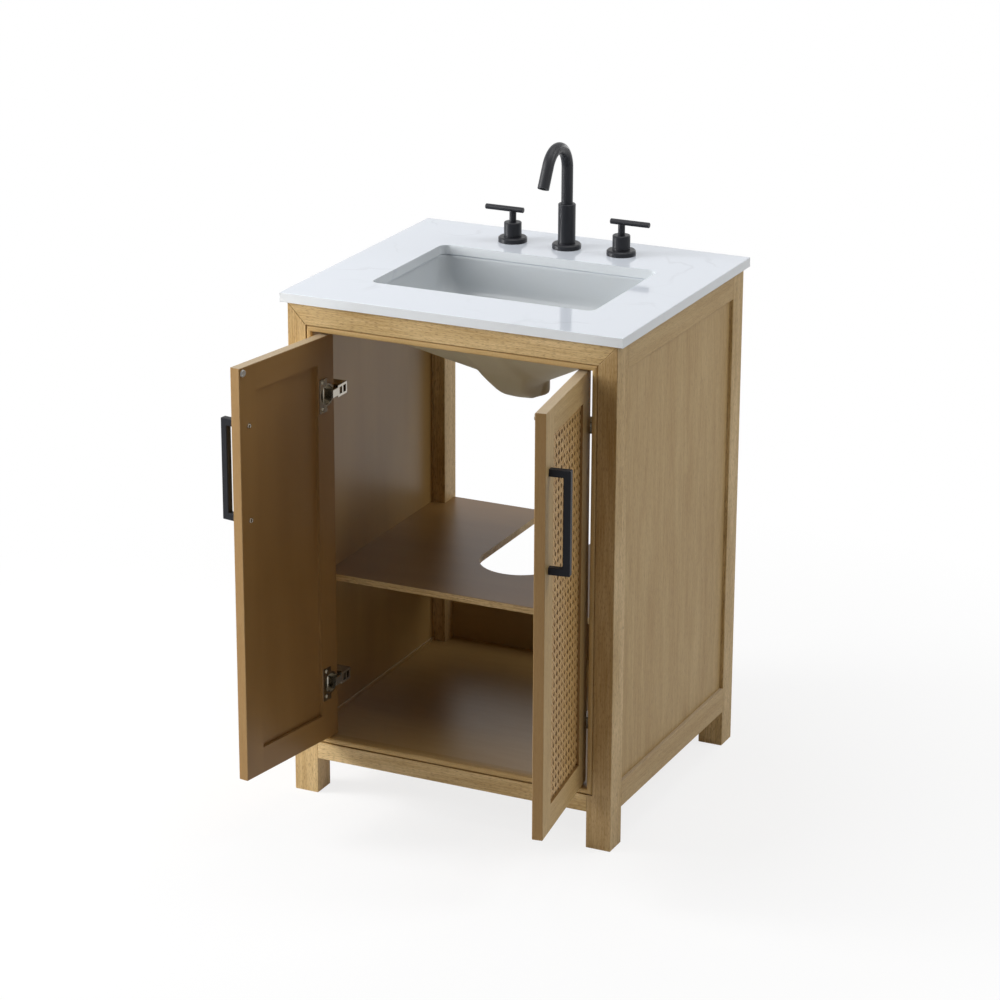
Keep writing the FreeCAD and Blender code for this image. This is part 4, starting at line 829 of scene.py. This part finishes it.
class VANITY_OT_oak(Operator):
    """Finish the oak frame, the panels and the boards inside"""

    bl_idname = "vanity.oak"
    bl_label = "Oak"

    def execute(self, context):
        oak = settings().oak
        upright, level = turned_grain("Z"), turned_grain("X")
        up, down, forward = (0, 0, 1), (0, 0, -1), (0, -1, 0)
        dress(oak_finish("oak_upright", upright), "front_left_leg", "back_left_leg", "back_right_leg")
        # The front right leg's front face is painted darker: painted shadow of the open right door
        darker = oak_finish("oak_upright_shaded", upright, edges=[forward], stain=0.4)
        dress(darker, "front_right_leg")
        dress(oak_finish("oak_level", level), "front_top_rail", "back_top_rail")
        # A thin oak moulding, sanded: an even brown, because its grain is too fine to show, painted darker than
        # the rails as shade round the door opening
        bead = coated_finish(
            "oak_bead", oak.bead, oak.deep, grain=2.0 * MM, rough=(0.45, 0.55),
            constants={"Specular IOR Level": 0.28},
        )
        dress(bead, "opening_beads")
        # The sill's top and the shelf's faces get the inside's painted shade
        dress(oak_finish("oak_sill", level, inner=[up]), "front_bottom_rail")
        dress(oak_finish("oak_shelf", level, inner=[up, down], lining=True), "shelf")
        # The floor board, corner blocks and back board: dark brown as painted shade inside the cabinet
        board = board_finish()
        dress(board, "bottom_panel", "corner_blocks")
        self.back(board)
        for side, inward in zip(SIDES, (Vector((1, 0, 0)), Vector((-1, 0, 0)))):
            # The side panels' inner faces get the inside's painted shade
            tall = oak_finish(f"{side}_side_oak_upright", upright, inner=[inward], panel=True)
            dress(tall, f"{side}_side_panel")
            deep = oak_finish(f"{side}_side_oak_level", turned_grain("Y"), inner=[inward], panel=True)
            dress(deep, *(f"{side}_side_{end}_rail" for end in ("top", "bottom")))
            self.door(side, inward)
        return {"FINISHED"}

    def door(self, side, inward):
        """Finish a door; its inner face and the walls of its panel's recess are veneered, and painted darker as
        shade behind the door and in the recess.
        """
        turn = door_frame(side).to_3x3()
        back = turn @ Vector((0, 1, 0))
        upright, level = turned_grain("Z"), turned_grain("X", door_turn(side))
        walls = (
            ("hinge_stile", upright, turn @ inward),
            ("pull_stile", upright, turn @ -inward),
            ("top_rail", level, Vector((0, 0, -1))),
            ("bottom_rail", level, Vector((0, 0, 1))),
            ("panel", upright, back),
        )
        for name, grain, way in walls:
            # The doors' free edges get painted shade, their inner faces and recess walls the inside's painted
            # shade
            finish = oak_finish(
                f"{side}_door_{name}_oak", grain, inner=[back, way], edges=[turn @ inward], panel=True,
                lining=True,
            )
            dress(finish, f"{side}_door_{name}")

    def back(self, finish):
        """A low back board whose top, softly eased, stays out of sight below the shelf's slot."""
        low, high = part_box("back_panel")
        high = Vector((high.x, high.y, high.z - settings().oak.back_drop))
        ease = 0.8 * MM
        shape = bmesh.new()
        bmesh.ops.create_cube(shape, size=1.0)
        size = Matrix.Diagonal((*(high - low), 1.0))
        bmesh.ops.transform(shape, matrix=Matrix.Translation((low + high) / 2) @ size, verts=shape.verts[:])
        bmesh.ops.bevel(
            shape, geom=shape.edges[:], offset=ease, affect="EDGES", segments=2, profile=0.5, material=-1
        )
        board = new_piece("low_back_board", shape, finish, "cabinet")
        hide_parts("back_panel")


class VANITY_OT_cane(Operator):
    """Weave the cane of both doors over a dark sheet that paints the shade behind its holes"""

    bl_idname = "vanity.cane"
    bl_label = "Cane"

    def execute(self, context):
        cane = settings().cane
        skin = cane_finish()
        # A dark sheet of painted shade behind the strands: a dull dark brown, left rough, that the holes show
        stain = coated_finish(
            "painted_shade_backing", cane.shade_backing, cane.shade_backing_light, grain=1.5 * MM, rough=(0.6, 0.75)
        )
        for side in SIDES:
            body = f"{side}_door"
            woven = new_piece(f"{side}_cane_weave", weave(side), skin, body)
            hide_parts(f"{side}_door_cane")
            move = door_frame(side)
            low, high = closed_box(f"{side}_door_cane", move)
            sheet = cane.gauge * 0.4
            shape = bmesh.new()
            size = Matrix.Diagonal((high.x - low.x, sheet, high.z - low.z, 1.0))
            spot = Vector(((low.x + high.x) / 2, high.y - sheet - cane.proud, (low.z + high.z) / 2))
            bmesh.ops.create_cube(shape, size=1.0, matrix=move @ Matrix.Translation(spot) @ size)
            new_piece(f"{side}_cane_shade_backing", shape, stain, body)
        return {"FINISHED"}


class VANITY_OT_top(Operator):
    """Finish the stone top and the basin"""

    bl_idname = "vanity.top"
    bl_label = "Top and Basin"

    def execute(self, context):
        dress(stone_finish(), "countertop")
        china = new_piece("basin_china", cast_form("sink_basin"), glaze_finish(), "cabinet")
        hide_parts("sink_basin")
        return {"FINISHED"}


class VANITY_OT_faucet(Operator):
    """Finish the faucet, from its black coat to the brass below the top, and the pulls"""

    bl_idname = "vanity.faucet"
    bl_label = "Faucet and Pulls"

    def execute(self, context):
        fitting = settings().fitting
        # Baked powder coat: a bluish black with broad soft lights
        coat = coated_finish(
            "black_powder_coat", fitting.black, fitting.black_worn, grain=0.8 * MM, rough=(0.34, 0.46),
            constants={"Specular IOR Level": 0.3},
        )
        # Flat sprayed paint: a greyer black that hardly shines
        flat = coated_finish(
            "flat_black_coat", fitting.pull_black, fitting.pull_worn, grain=0.8 * MM, rough=(0.4, 0.52),
            constants={"Specular IOR Level": 0.12},
        )
        # Moulded plastic: a dull black
        insert = coated_finish(
            "moulded_insert", fitting.plastic, fitting.plastic_worn, grain=0.8 * MM, rough=(0.5, 0.6)
        )
        # Turned brass: a yellow metal with a fine grain
        brass = coated_finish(
            "turned_brass", fitting.brass, fitting.brass_worn, grain=0.9 * MM, rough=(0.26, 0.4),
            constants={"Metallic": 1.0},
        )
        for side in SIDES:
            dress(coat, f"{side}_escutcheon", f"{side}_valve_body", f"{side}_lever")
            dress(flat, f"{side}_pull")
        dress(coat, "spout_escutcheon", "spout_collar", "spout_tube")
        dress(insert, "aerator")
        dress(brass, "faucet_shanks", "faucet_nuts")
        return {"FINISHED"}


class VANITY_OT_hardware(Operator):
    """Finish the hinges, screws, clips, shelf pins and bumpers"""

    bl_idname = "vanity.hardware"
    bl_label = "Hardware"

    def execute(self, context):
        fitting = settings().fitting
        # Nickel on steel: a warm grey metal, bright with a little haze
        nickel = coated_finish(
            "nickel_plate", fitting.nickel, fitting.nickel_worn, grain=1.0 * MM, rough=(0.14, 0.26),
            constants={"Metallic": 1.0},
        )
        # Soft clear plastic: a milky bead that lets some of the wood through
        clear = coated_finish(
            "clear_soft_plastic", fitting.bumper, fitting.bumper_worn, grain=1.0 * MM, rough=(0.2, 0.3),
            constants={"Transmission Weight": 0.6},
        )
        dress(nickel, "hinge_plates", "hinge_plate_screws", "sink_clips", "shelf_pins")
        arms = new_piece("hinge_arm_channels", windowed_arms(), nickel, "cabinet")
        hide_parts("hinge_arms")
        for side in SIDES:
            heads = pull_screws(side)
            new_piece(f"{side}_pull_screw_heads", heads, nickel, f"{side}_door")
            dress(nickel, f"{side}_hinge_cups", f"{side}_hinge_pins", f"{side}_door_screws")
            dress(clear, f"{side}_bumper")
        return {"FINISHED"}


def soft_light(name, place, size, power):
    """A round soft light that faces the cabinet's middle."""
    lamp = bpy.data.lights.new(name, "AREA")
    lamp.shape = "DISK"
    lamp.size = size
    lamp.energy = power
    holder = bpy.data.objects.new(name, lamp)
    holder.location = place
    holder.rotation_euler = (CABINET_MIDDLE - Vector(place)).to_track_quat("-Z", "Y").to_euler()
    bpy.context.scene.collection.objects.link(holder)


def in_view(tree):
    """One where the camera looks, straight, by a reflection or through something clear; zero elsewhere."""
    path = add(tree, "LightPath").outputs
    seen = path["Is Camera Ray"]
    for other in ("Is Glossy Ray", "Is Transmission Ray"):
        seen = add(tree, "Math", {0: seen, 1: path[other]}, operation="MAXIMUM").outputs[0]
    return seen


class VANITY_OT_stage(Operator):
    """Set the camera, the pale floor and the soft lights"""

    bl_idname = "vanity.stage"
    bl_label = "Stage"

    def execute(self, context):
        studio = settings().studio
        scene = context.scene
        self.camera(scene, studio)
        self.floor(scene, studio)
        self.world(scene)
        for name, (place, size, power) in LIGHTS.items():
            soft_light(name, place, size, power)
        scene.view_settings.view_transform = "Standard"
        return {"FINISHED"}

    def camera(self, scene, studio):
        """A long lens in front, to the right and above."""
        lens = bpy.data.cameras.new("camera")
        lens.lens = studio.camera_lens
        lens.sensor_width = 36
        lens.shift_x, lens.shift_y = studio.camera_shift
        holder = bpy.data.objects.new("camera", lens)
        holder.location = studio.camera_place
        holder.rotation_euler = (math.radians(90) - studio.camera_tilt, 0, studio.camera_turn)
        scene.collection.objects.link(holder)
        scene.camera = holder

    def floor(self, scene, studio):
        """A pale sheet that keeps the shadow near the cabinet and fades to plain white further out."""
        shape = bmesh.new()
        bmesh.ops.create_circle(shape, cap_ends=True, segments=96, radius=studio.floor_reach)
        mesh = bpy.data.meshes.new("floor")
        shape.to_mesh(mesh)
        shape.free()
        material, tree = empty_finish("pale_floor")
        place = add(tree, "TexCoord").outputs["Object"]
        away = add(tree, "VectorMath", {0: place}, operation="LENGTH").outputs["Value"]
        far = add(
            tree, "MapRange", {"Value": away, "From Min": 0.5, "From Max": 1.5, "To Min": 0.8}
        ).outputs[0]
        shown = add(tree, "Math", {0: far, 1: in_view(tree)}, operation="MULTIPLY").outputs[0]
        paint = add(tree, "BsdfDiffuse", {"Color": studio.floor}).outputs[0]
        white = add(tree, "Emission", {"Color": (1.0, 1.0, 1.0, 1.0), "Strength": 1.0}).outputs[0]
        both = add(tree, "MixShader", {0: shown, 1: paint, 2: white}).outputs[0]
        add(tree, "OutputMaterial", {"Surface": both})
        mesh.materials.append(material)
        sheet = bpy.data.objects.new("floor", mesh)
        scene.collection.objects.link(sheet)

    def world(self, scene):
        """White where the camera or a reflection looks, and a dim fill everywhere else."""
        scene.world = bpy.data.worlds.new("studio")
        scene.world.use_nodes = True
        tree = scene.world.node_tree
        tree.nodes.clear()
        level = add(tree, "MapRange", {"Value": in_view(tree), "To Min": 0.02}).outputs[0]
        sky = add(tree, "Background", {"Color": (1.0, 1.0, 1.0, 1.0), "Strength": level}).outputs[0]
        add(tree, "OutputWorld", {"Surface": sky})


STEPS = (
    VANITY_OT_oak,
    VANITY_OT_cane,
    VANITY_OT_top,
    VANITY_OT_faucet,
    VANITY_OT_hardware,
    VANITY_OT_stage,
)


class VANITY_PT_steps(Panel):
    """Lists the steps that dress the vanity"""

    bl_idname = "VANITY_PT_steps"
    bl_label = "Oak Vanity"
    bl_space_type = "VIEW_3D"
    bl_region_type = "UI"
    bl_category = "Vanity"

    def draw(self, context):
        for step in STEPS:
            self.layout.operator(step.bl_idname)


GROUPS = (OakSettings, CaneSettings, StoneSettings, FittingSettings, StudioSettings, VanitySettings)


def register():
    """Add the settings, the steps and their panel."""
    for item in (*GROUPS, *STEPS, VANITY_PT_steps):
        bpy.utils.register_class(item)
    bpy.types.Scene.vanity = PointerProperty(type=VanitySettings)


def unregister():
    """Take them away again."""
    del bpy.types.Scene.vanity
    for item in reversed((*GROUPS, *STEPS, VANITY_PT_steps)):
        bpy.utils.unregister_class(item)


def main():
    """Dress the vanity step by step."""
    register()
    bpy.ops.vanity.oak()
    bpy.ops.vanity.cane()
    bpy.ops.vanity.top()
    bpy.ops.vanity.faucet()
    bpy.ops.vanity.hardware()
    bpy.ops.vanity.stage()


if __name__ == "__main__":
    main()
